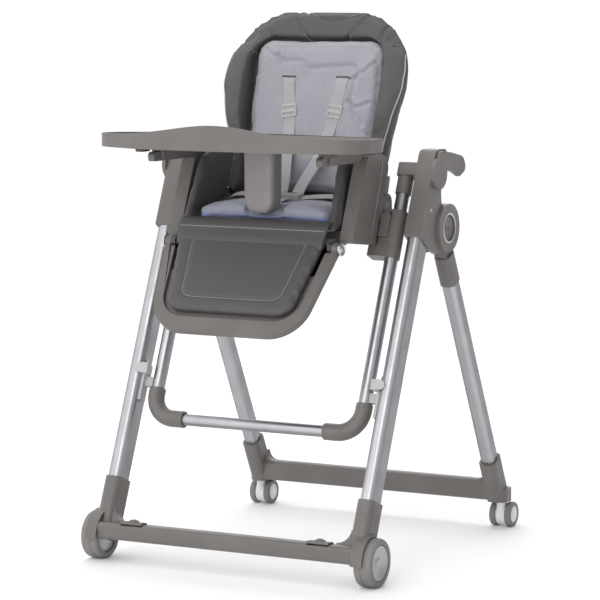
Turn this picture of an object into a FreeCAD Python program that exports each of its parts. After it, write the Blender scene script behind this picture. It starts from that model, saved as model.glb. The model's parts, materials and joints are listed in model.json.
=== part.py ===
import FreeCAD, Part
import math
import os

# Baby high chair on a folding A-frame with wheels. Millimetres, +Z up, the sitter faces -Y.
# The floor is Z = 0 and the chair is symmetrical about X = 0. "Right" is the +X side.

V = FreeCAD.Vector

# ---------------------------------------------------------------- driving dimensions
FOOT_Y = -322.5            # where the front legs' centre lines meet the floor
FRONT_RAKE = 23.2          # front legs lean back from the vertical, degrees
REAR_RAKE = 27.65          # rear legs lean forward from the vertical, degrees
LEG_X = 267.0              # centre plane of all four legs
FIT_GAP = 0.3              # air left between pieces that move past each other
PIN_GAP = 0.05             # radial clearance of a pin in its hole

# Front legs: distances along the leg from the floor
LEG_WIDTH, LEG_DEPTH, LEG_ROUND = 28.0, 46.0, 11.0
TUBE_WALL = 1.6
LEG_START, SHOE_TOP, LEG_SEAM, LEG_END = 105.0, 161.0, 449.0, 815.0
HOUSING_HALF, CHEEK = 17.0, 5.0

# Fold lever on the leg head: pivot across and along the leg, and its two faces
LEVER_ACROSS, LEVER_ALONG, LEVER_RADIUS, LEVER_PIVOT_RADIUS = -5.0, 795.0, 30.0, 6.0
LEVER_INNER, LEVER_OUTER = LEG_X + HOUSING_HALF + FIT_GAP, LEG_X + HOUSING_HALF + 8.5

# Hub: the hinge that the rear legs fold about
HUB_Y, HUB_Z = FOOT_Y + 352.4, 627.0
HUB_RADIUS, HUB_DISC_RADIUS = 46.0, 41.0
HUB_PIN_RADIUS, HUB_BUTTON_RADIUS, HUB_STEM_RADIUS = 8.0, 24.0, 5.0

# Rear legs: distances down the leg from the hub
REAR_WIDTH, REAR_DEPTH, REAR_ROUND = 28.0, 34.0, 10.0
SOCKET_NECK, SOCKET_END, REAR_SEAM, REAR_FOOT_TOP, REAR_END = 60.0, 123.0, 406.0, 545.0, 600.0

# Guide frame that the seat slides on
GUIDE_X, GUIDE_RADIUS = 220.0, 12.5
GUIDE_CORNER, ELBOW_BEND, CROSS_RADIUS = 286.0, 45.0, 11.0
BRACKET_BOTTOM, BRACKET_TOP, STOP_BOTTOM = 787.0, 812.0, 752.0

# Wheels
WHEEL_RADIUS, WHEEL_WIDTH, WHEEL_X, WHEEL_BACK = 45.0, 36.0, 287.0, 29.0
CASTER_RADIUS, CASTER_WIDTH, CASTER_TRACK = 25.0, 13.0, 32.0
CASTER_X, CASTER_STEM_BACK, CASTER_TRAIL = 273.0, 652.0, 14.0
CASTER_STEM_RADIUS, CASTER_STEM_TOP, CASTER_AXLE_RADIUS = 5.0, 78.0, 3.0
PEDAL_X, PEDAL_WIDTH, PEDAL_Z = 196.0, 44.0, 76.0
PEDAL_PIN, PEDAL_PIN_BACK, PEDAL_PIN_Z = 2.0, 10.0, 73.4

# Seat
SEAT_FRONT_BACK, SEAT_Z = 116.0, 632.0
PLATE_INNER, PLATE_OUTER, PLATE_FRONT, PLATE_REAR = 168.0, 196.0, -133.0, -32.0
ARM_BOTTOM, ARM_TOP, ARM_TIP_BACK, ARM_OUTER = 757.0, 774.5, 38.0, 182.0
RECLINE_BACK, RECLINE_Z, RECLINE_PIN = 338.0, 668.0, 6.0

# Backrest: its own frame stands on the seat, Z up the rest and Y into its thickness
BACK_ANGLE = 15.6
BACK_BASE_BACK, BACK_BASE_Z = 308.0, 660.0
BACK_HALF, BACK_TOP = 195.0, 388.0
WING_FRONT, PAD_FRONT, RECESS, COVER_BACK, SHELL_BACK = -32.0, 0.0, 16.0, 26.0, 31.0

# Harness
STRAP_WIDTH, STRAP_THICK = 25.0, 1.6
BUCKLE_BACK, BUCKLE_Z = 250.0, 674.5

# Footrest: pivot line and its slope from the vertical
FOOTREST_BACK, FOOTREST_Z, FOOTREST_ANGLE = 109.0, 603.0, 38.0
FOOTREST_DROP, BAR_THICK, PIN_END = 196.0, 14.0, 182.5

# Tray
TRAY_HALF, TRAY_FRONT, TRAY_REAR = 277.0, -46.0, 200.0
TRAY_BOTTOM, TRAY_WALL, TRAY_FLOOR = 785.0, 3.0, 6.0
TRAY_SIDE_TOP, TRAY_CREST_TOP, TRAY_REAR_TOP = 812.0, 833.0, 803.0


# ---------------------------------------------------------------- helpers
def back(distance):
    """Y of a place that lies this far behind the front feet."""
    return FOOT_Y + distance


def block(x0, x1, y0, y1, z0, z1):
    """Box between two corners."""
    return Part.makeBox(x1 - x0, y1 - y0, z1 - z0, V(x0, y0, z0))


def rod(radius, start, end):
    """Round bar between two points."""
    axis = end - start
    return Part.makeCylinder(radius, axis.Length, start, axis)


def outline_face(corners, place):
    """Flat face whose corners (a, b, radius) are rounded; place maps (a, b) to a point."""
    points = [V(a, b, 0) for a, b, _ in corners]
    arcs = []
    for i, (_, _, radius) in enumerate(corners):
        here = points[i]
        to_last = (points[i - 1] - here).normalize()
        to_next = (points[(i + 1) % len(points)] - here).normalize()
        half = math.acos(max(-1.0, min(1.0, to_last.dot(to_next)))) / 2
        reach = radius / math.tan(half)
        middle = (to_last + to_next).normalize() * (radius / math.sin(half) - radius)
        arcs.append((here + to_last * reach, here + middle, here + to_next * reach))
    edges = []
    for i, (start, middle, end) in enumerate(arcs):
        if (start - end).Length > 1e-6:
            edges.append(Part.Arc(place(start.x, start.y), place(middle.x, middle.y),
                                  place(end.x, end.y)).toShape())
        following = arcs[(i + 1) % len(arcs)][0]
        if (following - end).Length > 1e-6:
            edges.append(Part.LineSegment(place(end.x, end.y),
                                          place(following.x, following.y)).toShape())
    return Part.Face(Part.Wire(edges))


def side_plate(corners, x0, x1):
    """Plate whose rounded outline (y, z, radius) is seen from the side."""
    return outline_face(corners, lambda y, z: V(x0, y, z)).extrude(V(x1 - x0, 0, 0))


def plan_plate(corners, z0, z1):
    """Plate whose rounded outline (x, y, radius) is seen from above."""
    return outline_face(corners, lambda x, y: V(x, y, z0)).extrude(V(0, 0, z1 - z0))


def front_plate(corners, y0, y1):
    """Plate whose rounded outline (x, z, radius) is seen from the front."""
    return outline_face(corners, lambda x, z: V(x, y0, z)).extrude(V(0, y1 - y0, 0))


def bar(width, depth, radius, z0, z1, x=0.0, y=0.0):
    """Upright bar of rounded rectangular section, width along X and depth along Y."""
    w, d = width / 2, depth / 2
    corners = [(x - w, y - d, radius), (x + w, y - d, radius),
               (x + w, y + d, radius), (x - w, y + d, radius)]
    return plan_plate(corners, z0, z1)


def join(pieces):
    """One solid from pieces that meet or overlap."""
    return pieces[0].fuse(pieces[1:]).removeSplitter()


def group(pieces):
    """Separate solids that share one node."""
    return Part.Compound(pieces)


def mirrored(shape):
    """The same piece on the other side of the chair."""
    return shape.mirror(V(0, 0, 0), V(1, 0, 0))


def placed(shape, angle, y, z):
    """Turn a shape about X and carry its origin to (0, y, z)."""
    return shape.transformed(
        FreeCAD.Placement(V(0, y, z), FreeCAD.Rotation(V(1, 0, 0), angle)).toMatrix(), True)


def on_front_leg(shape):
    """From the front leg's frame, Z up the leg from the floor, Y across it to the rear."""
    return placed(shape, -FRONT_RAKE, FOOT_Y, 0)


def on_rear_leg(shape):
    """From the rear leg's frame, origin at the hub, Z up the leg."""
    return placed(shape, REAR_RAKE, HUB_Y, HUB_Z)


def on_backrest(shape):
    """From the backrest's frame, Z up the rest, Y through its thickness to the rear."""
    return placed(shape, -BACK_ANGLE, back(BACK_BASE_BACK), BACK_BASE_Z)


def on_footrest(shape):
    """From the footrest's frame, origin on its pivot line, Z up its slope."""
    return placed(shape, -FOOTREST_ANGLE, back(FOOTREST_BACK), FOOTREST_Z)


def leg_tube(width, depth, radius, z0, z1, x=LEG_X):
    """Hollow rounded tube in a leg's frame."""
    outer = bar(width, depth, radius, z0, z1, x)
    inner = bar(width - 2 * TUBE_WALL, depth - 2 * TUBE_WALL, radius - TUBE_WALL, z0, z1, x)
    return outer.cut(inner)


# ---------------------------------------------------------------- front frame
def front_leg_lower():
    """Lower aluminium tube with a drawn-in neck that enters the upper tube."""
    neck_length, neck_gap = 40.0, 2 * TUBE_WALL + 0.02
    tube = leg_tube(LEG_WIDTH, LEG_DEPTH, LEG_ROUND, LEG_START, LEG_SEAM)
    neck = leg_tube(LEG_WIDTH - neck_gap, LEG_DEPTH - neck_gap, LEG_ROUND - TUBE_WALL,
                    LEG_SEAM - TUBE_WALL, LEG_SEAM + neck_length)
    shoulder = bar(LEG_WIDTH, LEG_DEPTH, LEG_ROUND, LEG_SEAM - 2 * TUBE_WALL, LEG_SEAM, LEG_X).cut(
        bar(LEG_WIDTH - 4 * TUBE_WALL, LEG_DEPTH - 4 * TUBE_WALL, LEG_ROUND - 2 * TUBE_WALL,
            LEG_SEAM - 2 * TUBE_WALL, LEG_SEAM, LEG_X))
    return on_front_leg(join([tube, shoulder, neck]))


def front_leg_upper():
    """Upper aluminium tube, from the seam into the housing."""
    return on_front_leg(leg_tube(LEG_WIDTH, LEG_DEPTH, LEG_ROUND, LEG_SEAM, LEG_END))


def front_base():
    """Cross bar and two shoes in one moulding, with wheel covers, wells and axle bores."""
    bar_bottom, bar_top, bar_front, bar_rear, bar_round = 45.0, 77.0, -15.0, 17.0, 9.0
    shoe_width, shoe_depth, shoe_round = 35.0, 53.0, 13.0
    well_radius, well_side, axle_radius = WHEEL_RADIUS + 3, WHEEL_X - WHEEL_WIDTH / 2 - 2.5, 5.0
    corners = [(back(bar_front), bar_bottom, bar_round), (back(bar_rear), bar_bottom, bar_round),
               (back(bar_rear), bar_top, bar_round), (back(bar_front), bar_top, bar_round)]
    pieces = [side_plate(corners, -LEG_X, LEG_X)]
    gusset = 26.0
    inner = LEG_X - shoe_width / 2
    for side in (1, -1):
        shoe = on_front_leg(bar(shoe_width, shoe_depth, shoe_round, 0, SHOE_TOP, LEG_X))
        shoe = shoe.cut(block(0, 2 * LEG_X, -2 * LEG_X - LEG_X, LEG_X, -LEG_X, bar_bottom))
        web = block(inner - gusset, inner + 4, -20, 8, bar_top - 9, bar_top + gusset)
        scoop = rod(gusset, V(inner - gusset, -60, bar_top + gusset),
                    V(inner - gusset, 60, bar_top + gusset))
        right = join([shoe, on_front_leg(web.cut(scoop))])
        pieces.append(right if side == 1 else mirrored(right))
    body = join(pieces)
    slot = on_front_leg(bar(LEG_WIDTH, LEG_DEPTH, LEG_ROUND, LEG_START, SHOE_TOP + 5, LEG_X))
    well = rod(well_radius, V(well_side, back(WHEEL_BACK), WHEEL_RADIUS),
               V(well_side + 60, back(WHEEL_BACK), WHEEL_RADIUS))
    bore = rod(axle_radius + PIN_GAP, V(LEG_X - 20, back(WHEEL_BACK), WHEEL_RADIUS),
               V(LEG_X + 20, back(WHEEL_BACK), WHEEL_RADIUS))
    boss = rod(axle_radius + 6, V(inner, back(WHEEL_BACK), WHEEL_RADIUS),
               V(well_side, back(WHEEL_BACK), WHEEL_RADIUS))
    cover_wall, cover_edge = 3.5, WHEEL_X + 3
    cover = rod(well_radius + cover_wall, V(LEG_X, back(WHEEL_BACK), WHEEL_RADIUS),
                V(cover_edge, back(WHEEL_BACK), WHEEL_RADIUS))
    cover = cover.common(block(LEG_X, cover_edge, back(-30), back(WHEEL_BACK + 8), bar_bottom,
                               2 * well_radius))
    pocket = brake_pocket()
    body = join([body, boss, mirrored(boss), cover, mirrored(cover)])
    for cut in (slot, well, bore, pocket):
        body = body.cut(cut).cut(mirrored(cut))
    return body


def pedal_pin(radius, reach):
    """Pivot pin of the brake pedal, sticking out of the pedal's sides by reach."""
    half = PEDAL_WIDTH / 2 + reach
    return rod(radius, V(PEDAL_X - half, back(PEDAL_PIN_BACK), PEDAL_PIN_Z),
               V(PEDAL_X + half, back(PEDAL_PIN_BACK), PEDAL_PIN_Z))


def brake_pocket():
    """Shallow recess in the cross bar's top with the bores the pedal's pin turns in."""
    half = PEDAL_WIDTH / 2 + 1
    recess = block(PEDAL_X - half, PEDAL_X + half, back(-12), back(15), 70, 90)
    return join([recess, pedal_pin(PEDAL_PIN + PIN_GAP, 5.0)])


def brake_pedal():
    """Rocking pedal with a raised thumb dome, hinged along its rear edge."""
    half = PEDAL_WIDTH / 2
    corners = [(back(-11), PEDAL_Z + 1, 1.5), (back(10), PEDAL_Z - 3, 1.5),
               (back(13), PEDAL_Z + 1, 1.5), (back(9), PEDAL_Z + 4, 1.5),
               (back(-10), PEDAL_Z + 6, 1.5)]
    pad = side_plate(corners, PEDAL_X - half, PEDAL_X + half)
    dome = Part.makeSphere(16, V(PEDAL_X, back(0), PEDAL_Z - 6))
    keep = block(PEDAL_X - half, PEDAL_X + half, back(-10), back(10), PEDAL_Z + 1, PEDAL_Z + 20)
    return join([pad, dome.common(keep), pedal_pin(PEDAL_PIN, 4.5)])


def front_wheel_tyre():
    """Broad tyre with rounded shoulders."""
    x0, x1 = WHEEL_X - WHEEL_WIDTH / 2, WHEEL_X + WHEEL_WIDTH / 2
    centre_y = back(WHEEL_BACK)
    shoulder, bore = 6.0, 33.0
    corners = [(x0, WHEEL_RADIUS, shoulder / 2), (x1, WHEEL_RADIUS, shoulder), (x1, bore, 1),
               (x0, bore, 1)]
    ring = outline_face(corners, lambda x, r: V(x, centre_y, WHEEL_RADIUS + r))
    return ring.revolve(V(0, centre_y, WHEEL_RADIUS), V(1, 0, 0), 360)


def front_wheel_hub():
    """Light hub disc with the stub axle that turns in the shoe."""
    x0, x1 = WHEEL_X - WHEEL_WIDTH / 2, WHEEL_X + WHEEL_WIDTH / 2
    disc_radius, dish, axle_radius = 33.0, 3.0, 5.0
    middle = V(0, back(WHEEL_BACK), WHEEL_RADIUS)
    disc = rod(disc_radius, middle + V(x0 + 4, 0, 0), middle + V(x1 - 1, 0, 0))
    hollow = Part.makeCone(disc_radius - 14, disc_radius - 3, dish, middle + V(x1 - 1 - dish, 0, 0),
                           V(1, 0, 0))
    axle = rod(axle_radius, middle + V(LEG_X - 17, 0, 0), middle + V(x0 + 5, 0, 0))
    return join([disc.cut(hollow), axle])


def housing_outline():
    """Side view of the leg housing in the front leg's frame: (across, along, radius)."""
    return [(-26, 664, 3), (25, 653, 2), (46, 653, 4), (96, 673, 4), (72, 760.5, 3),
            (40, 747, 8), (26, 772, 25), (26, 856, 12), (-26, 834, 18)]


def leg_housing():
    """Moulded head of the front leg: tube socket, two hub cheeks and the hinge pin."""
    leg_offset_y = HUB_Y - FOOT_Y
    rake = math.radians(FRONT_RAKE)
    across = leg_offset_y * math.cos(rake) - HUB_Z * math.sin(rake)
    along = leg_offset_y * math.sin(rake) + HUB_Z * math.cos(rake)
    inner, outer = LEG_X - HOUSING_HALF, LEG_X + HOUSING_HALF
    body = join([side_plate(housing_outline(), inner, outer),
                 rod(HUB_RADIUS, V(inner, across, along), V(outer, across, along))])
    ring_face = 7.0
    ring = rod(HUB_RADIUS, V(outer - 1, across, along), V(outer + ring_face, across, along))
    body = join([body, ring])
    web_start = LEG_DEPTH / 2 + 4
    gap = join([block(inner + CHEEK, outer - CHEEK, web_start, web_start + 200, 640, 708),
                rod(HUB_DISC_RADIUS + 2.5, V(inner + CHEEK, across, along),
                    V(outer - CHEEK, across, along)),
                block(inner + CHEEK, outer - CHEEK, across, across + 100, 640, along + 60)])
    tube_slot = bar(LEG_WIDTH, LEG_DEPTH, LEG_ROUND, 600, LEG_END, LEG_X)
    button_bore = rod(HUB_BUTTON_RADIUS + FIT_GAP, V(outer - CHEEK, across, along),
                      V(outer + 20, across, along))
    lever_bore = rod(LEVER_PIVOT_RADIUS + PIN_GAP, V(outer - 3, LEVER_ACROSS, LEVER_ALONG),
                     V(outer + 1, LEVER_ACROSS, LEVER_ALONG))
    body = body.cut(gap).cut(tube_slot).cut(button_bore).cut(lever_bore)
    pin = rod(HUB_PIN_RADIUS, V(inner + 1, across, along), V(outer - CHEEK, across, along))
    stem_bore = rod(HUB_STEM_RADIUS + PIN_GAP, V(inner + CHEEK + 4, across, along),
                    V(outer + 1, across, along))
    return on_front_leg(join([body, pin]).cut(stem_bore))


def fold_lever():
    """Hooked lever on the leg head that releases the fold."""
    disc = rod(LEVER_RADIUS, V(LEVER_INNER, LEVER_ACROSS, LEVER_ALONG),
               V(LEVER_OUTER, LEVER_ACROSS, LEVER_ALONG))
    stub = rod(LEVER_PIVOT_RADIUS, V(LEG_X + HOUSING_HALF - 2.5, LEVER_ACROSS, LEVER_ALONG),
               V(LEVER_OUTER, LEVER_ACROSS, LEVER_ALONG))
    hook = [(-20, 800, 2), (22, 811, 6), (48, 817, 8), (78, 818, 12), (104, 844, 12),
            (78, 860, 22), (32, 850, 60), (-22, 834, 14)]
    return on_front_leg(join([disc, stub, side_plate(hook, LEVER_INNER, LEVER_OUTER)]))


def hub_button():
    """Round push button in the hub, with a stem that slides in the hinge pin."""
    outer = LEG_X + HOUSING_HALF
    face, cap_back, stem_end = outer + 4.5, outer - 0.5, LEG_X - 2.0
    cap = rod(HUB_BUTTON_RADIUS, V(cap_back, HUB_Y, HUB_Z), V(face, HUB_Y, HUB_Z))
    dish = Part.makeCone(HUB_BUTTON_RADIUS - 8, HUB_BUTTON_RADIUS - 3, 1.5,
                         V(face - 1.5, HUB_Y, HUB_Z), V(1, 0, 0))
    stem = rod(HUB_STEM_RADIUS, V(stem_end, HUB_Y, HUB_Z), V(cap_back + 1, HUB_Y, HUB_Z))
    return join([cap.cut(dish), stem])


def housing_screws():
    """Pan-head screws that close the two halves of each housing."""
    head_radius, head_height, across, along = 3.5, 1.6, -2.0, 724.0
    face = LEG_X + HOUSING_HALF
    head = on_front_leg(rod(head_radius, V(face, across, along),
                            V(face + head_height, across, along)))
    return group([head, mirrored(head)])


# ---------------------------------------------------------------- guide frame
def guide_tube():
    """Round aluminium tube beside the front leg that the seat slides on."""
    outer = rod(GUIDE_RADIUS, V(GUIDE_X, 0, GUIDE_CORNER + ELBOW_BEND),
                V(GUIDE_X, 0, BRACKET_TOP - 6))
    inner = rod(GUIDE_RADIUS - TUBE_WALL, V(GUIDE_X, 0, GUIDE_CORNER + ELBOW_BEND),
                V(GUIDE_X, 0, BRACKET_TOP - 6))
    return on_front_leg(outer.cut(inner))


def guide_brackets():
    """Bridges from the leg heads to the guide tubes' tops, with their stop sleeves."""
    sleeve_radius = GUIDE_RADIUS + 2.5
    bridge = [(GUIDE_X - 16, -16, 9), (LEG_X - HOUSING_HALF, -16, 1),
              (LEG_X - HOUSING_HALF, 16, 1), (GUIDE_X - 16, 16, 9)]
    body = join([plan_plate(bridge, BRACKET_BOTTOM, BRACKET_TOP),
                 rod(sleeve_radius, V(GUIDE_X, 0, STOP_BOTTOM), V(GUIDE_X, 0, BRACKET_TOP))])
    right = on_front_leg(body.cut(rod(GUIDE_RADIUS, V(GUIDE_X, 0, 0),
                                      V(GUIDE_X, 0, BRACKET_TOP - 6))))
    return group([right, mirrored(right)])


def guide_elbow():
    """Moulded elbow between a guide tube and the cross tube."""
    radius, arm = 16.0, 26.0
    bend = GUIDE_CORNER + ELBOW_BEND
    section = Part.Face(Part.Wire(Part.makeCircle(radius, V(GUIDE_X, 0, bend), V(0, 0, 1))))
    turn = section.revolve(V(GUIDE_X - ELBOW_BEND, 0, bend), V(0, 1, 0), 90)
    upright = rod(radius, V(GUIDE_X, 0, bend), V(GUIDE_X, 0, bend + 12))
    lying = rod(radius, V(GUIDE_X - ELBOW_BEND, 0, GUIDE_CORNER),
                V(GUIDE_X - ELBOW_BEND - arm, 0, GUIDE_CORNER))
    body = join([turn, upright, lying])
    body = body.cut(rod(GUIDE_RADIUS, V(GUIDE_X, 0, bend), V(GUIDE_X, 0, bend + 40)))
    return on_front_leg(body.cut(rod(CROSS_RADIUS, V(GUIDE_X - ELBOW_BEND, 0, GUIDE_CORNER),
                                     V(0, 0, GUIDE_CORNER))))


def guide_cross_tube():
    """Cross tube that ties the two guide tubes together."""
    half = GUIDE_X - ELBOW_BEND
    outer = rod(CROSS_RADIUS, V(-half, 0, GUIDE_CORNER), V(half, 0, GUIDE_CORNER))
    inner = rod(CROSS_RADIUS - TUBE_WALL, V(-half, 0, GUIDE_CORNER), V(half, 0, GUIDE_CORNER))
    return on_front_leg(outer.cut(inner))


def guide_clips():
    """Light catches between the legs and the guide tubes, each with a tongue over its leg."""
    leg_face, leg_front = LEG_X - LEG_WIDTH / 2, -LEG_DEPTH / 2
    plate = block(leg_face - 6, leg_face, -14, 6, 316, 366)
    head = plan_plate([(leg_face - 17, leg_front - 4, 2), (leg_face, leg_front - 4, 1),
                       (leg_face, 8, 2), (leg_face - 8, 8, 2)], 366, 386)
    tongue = front_plate([(leg_face - 4, 367, 2), (leg_face + 12, 367, 8.5),
                          (leg_face + 12, 385, 8.5), (leg_face - 4, 385, 2)],
                         leg_front - 4, leg_front)
    pad = block(GUIDE_X, leg_face - 5, -7, 7, 345, 363)
    pin = rod(2.5, V(leg_face - 3, -8, 384), V(leg_face - 3, -8, 396))
    body = join([plate, head, tongue, pad, pin])
    right = on_front_leg(body.cut(rod(GUIDE_RADIUS, V(GUIDE_X, 0, 300), V(GUIDE_X, 0, 400))))
    return group([right, mirrored(right)])


# ---------------------------------------------------------------- rear frame
def rear_leg_upper():
    """Upper rear tube with a drawn-in neck that enters the lower tube."""
    neck_gap = 2 * TUBE_WALL + 0.02
    tube = leg_tube(REAR_WIDTH, REAR_DEPTH, REAR_ROUND, -REAR_SEAM, -75)
    shoulder = bar(REAR_WIDTH, REAR_DEPTH, REAR_ROUND, -REAR_SEAM, 2 * TUBE_WALL - REAR_SEAM,
                   LEG_X).cut(
        bar(REAR_WIDTH - 4 * TUBE_WALL, REAR_DEPTH - 4 * TUBE_WALL, REAR_ROUND - 2 * TUBE_WALL,
            -REAR_SEAM, 2 * TUBE_WALL - REAR_SEAM, LEG_X))
    neck = leg_tube(REAR_WIDTH - neck_gap, REAR_DEPTH - neck_gap, REAR_ROUND - TUBE_WALL,
                    -REAR_SEAM - 36, TUBE_WALL - REAR_SEAM)
    return on_rear_leg(join([tube, shoulder, neck]))


def rear_leg_lower():
    """Lower rear tube, from the seam into the rear foot."""
    return on_rear_leg(leg_tube(REAR_WIDTH, REAR_DEPTH, REAR_ROUND, -REAR_END, -REAR_SEAM))


def rear_leg_socket():
    """Hinge disc, neck and sleeve that carry the rear leg tube."""
    thickness = HOUSING_HALF - CHEEK - FIT_GAP
    disc = rod(HUB_DISC_RADIUS, V(LEG_X - thickness, 0, 0), V(LEG_X + thickness, 0, 0))
    neck = block(LEG_X - thickness, LEG_X + thickness, -17, 17, -SOCKET_NECK - 2, 0)
    sleeve = bar(REAR_WIDTH + 5, REAR_DEPTH + 5, REAR_ROUND + 2.5, -SOCKET_END, -SOCKET_NECK, LEG_X)
    body = join([disc, neck, sleeve])
    body = body.cut(bar(REAR_WIDTH, REAR_DEPTH, REAR_ROUND, -SOCKET_END - 5, -75, LEG_X))
    bore = rod(HUB_PIN_RADIUS + PIN_GAP, V(LEG_X - 30, 0, 0), V(LEG_X + 30, 0, 0))
    return on_rear_leg(body.cut(bore))


def rear_base():
    """Rear cross bar and both feet in one moulding, with the caster sockets."""
    bar_bottom, bar_top, bar_round, bar_half = 56.0, 98.0, 11.0, 16.0
    bar_middle = back(641)
    foot_bottom = 53.0
    corners = [(bar_middle - bar_half, bar_bottom, bar_round),
               (bar_middle + bar_half, bar_bottom, bar_round),
               (bar_middle + bar_half - 4, bar_top, bar_round),
               (bar_middle - bar_half - 4, bar_top, bar_round)]
    pieces = [side_plate(corners, -LEG_X, LEG_X)]
    gusset = 20.0
    foot_width, foot_depth = 36.0, 46.0
    inner = LEG_X - foot_width / 2
    for side in (1, -1):
        sleeve = on_rear_leg(bar(foot_width, foot_depth, 13, -REAR_END - 110, -REAR_FOOT_TOP, LEG_X))
        sleeve = sleeve.cut(block(0, 2 * LEG_X, back(400), back(900), -200, foot_bottom))
        socket = bar(38, 44, 14, foot_bottom, 80, CASTER_X - 2, back(CASTER_STEM_BACK))
        web = block(inner - gusset, inner + 4, bar_middle - 15, bar_middle + 6,
                    bar_top - 6, bar_top + gusset)
        scoop = rod(gusset, V(inner - gusset, bar_middle - 40, bar_top + gusset),
                    V(inner - gusset, bar_middle + 40, bar_top + gusset))
        right = join([sleeve, socket, web.cut(scoop)])
        pieces.append(right if side == 1 else mirrored(right))
    body = join(pieces)
    slot = on_rear_leg(bar(REAR_WIDTH, REAR_DEPTH, REAR_ROUND, -REAR_END, 0, LEG_X))
    stem = rod(CASTER_STEM_RADIUS + PIN_GAP, V(CASTER_X, back(CASTER_STEM_BACK), 0),
               V(CASTER_X, back(CASTER_STEM_BACK), CASTER_STEM_TOP + 0.5))
    for cut in (slot, stem):
        body = body.cut(cut).cut(mirrored(cut))
    return body


def caster_hood():
    """Light hood between the twin wheels, with the swivel stem."""
    stem_y, axle_y = back(CASTER_STEM_BACK), back(CASTER_STEM_BACK + CASTER_TRAIL)
    half = CASTER_TRACK / 2 - CASTER_WIDTH / 2 - FIT_GAP
    hood_radius, collar_radius, collar_top = 22.0, 9.0, 51.5
    hood = rod(hood_radius, V(CASTER_X - half, axle_y, CASTER_RADIUS),
               V(CASTER_X + half, axle_y, CASTER_RADIUS))
    collar = rod(collar_radius, V(CASTER_X, stem_y, CASTER_RADIUS + 6),
                 V(CASTER_X, stem_y, collar_top))
    stem = rod(CASTER_STEM_RADIUS, V(CASTER_X, stem_y, CASTER_RADIUS + 8),
               V(CASTER_X, stem_y, CASTER_STEM_TOP))
    axle_bore = rod(CASTER_AXLE_RADIUS + PIN_GAP, V(CASTER_X - 30, axle_y, CASTER_RADIUS),
                    V(CASTER_X + 30, axle_y, CASTER_RADIUS))
    return join([hood, collar, stem]).cut(axle_bore)


def caster_wheels():
    """Two small wheels on one axle that turn together."""
    axle_y = back(CASTER_STEM_BACK + CASTER_TRAIL)
    pieces = [rod(CASTER_AXLE_RADIUS, V(CASTER_X - CASTER_TRACK / 2, axle_y, CASTER_RADIUS),
                  V(CASTER_X + CASTER_TRACK / 2, axle_y, CASTER_RADIUS))]
    for side in (-1, 1):
        middle = CASTER_X + side * CASTER_TRACK / 2
        half, shoulder = CASTER_WIDTH / 2, 3.0
        corners = [(middle - half, 0, 0), (middle + half, 0, 0),
                   (middle + half, CASTER_RADIUS, shoulder),
                   (middle - half, CASTER_RADIUS, shoulder)]
        wheel = outline_face(corners, lambda x, r: V(x, axle_y, CASTER_RADIUS + r))
        pieces.append(wheel.revolve(V(0, axle_y, CASTER_RADIUS), V(1, 0, 0), 360))
    return join(pieces)


# ---------------------------------------------------------------- seat
def plate_line(z, shift):
    """Y on a line parallel to the front legs, shifted forward of the legs' plane."""
    return back(z * math.tan(math.radians(FRONT_RAKE)) + shift)


def seat_side():
    """Side panel of the seat with the armrest rail that carries the tray."""
    z0, z1, z2 = 612.0, 601.0, 768.0
    panel = side_plate([(plate_line(z0, PLATE_FRONT), z0, 8), (plate_line(z1, PLATE_REAR), z1, 6),
                        (plate_line(z2, PLATE_REAR), z2, 26), (plate_line(z2, PLATE_FRONT), z2, 6)],
                       PLATE_INNER, PLATE_OUTER)
    rail = side_plate([(back(ARM_TIP_BACK), ARM_BOTTOM, 5), (back(290), ARM_BOTTOM, 4),
                       (back(280), ARM_TOP, 8), (back(ARM_TIP_BACK - 4), ARM_TOP, 8)],
                      PLATE_INNER, ARM_OUTER)
    tab = on_front_leg(block(176, 190, -40, 12, 652, 700))
    return join([panel, rail, tab])


def slider():
    """Sleeve on the guide tube with the block and foot that hold the seat."""
    bottom, top = 625.0, 718.0
    sleeve = rod(GUIDE_RADIUS + 3, V(GUIDE_X, 0, bottom), V(GUIDE_X, 0, top))
    body = plan_plate([(190, -16, 5), (GUIDE_X + 2, -16, 3), (GUIDE_X + 2, 14, 3), (190, 14, 5)],
                      bottom, top)
    foot = plan_plate([(176, -18, 2), (GUIDE_X + 2, -18, 3), (GUIDE_X + 2, 14, 3), (176, 14, 2)],
                      bottom, bottom + 22)
    pocket = block(193, 213, -30, -8, 662, 712)
    bore = rod(GUIDE_RADIUS + FIT_GAP, V(GUIDE_X, 0, 600), V(GUIDE_X, 0, 730))
    return on_front_leg(join([sleeve, body, foot]).cut(pocket).cut(bore))


def slider_button():
    """Height button that is pressed into the slider's front, hollowed to clear the tube."""
    travel = 4.0
    body = front_plate([(193.4, 662.4, 2), (212.6, 662.4, 2), (212.6, 711.6, 9),
                        (193.4, 711.6, 9)], -21, -12.6)
    hollow = rod(GUIDE_RADIUS + 0.6, V(GUIDE_X, -travel, 650), V(GUIDE_X, -travel, 720))
    return on_front_leg(body.cut(hollow))


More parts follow.
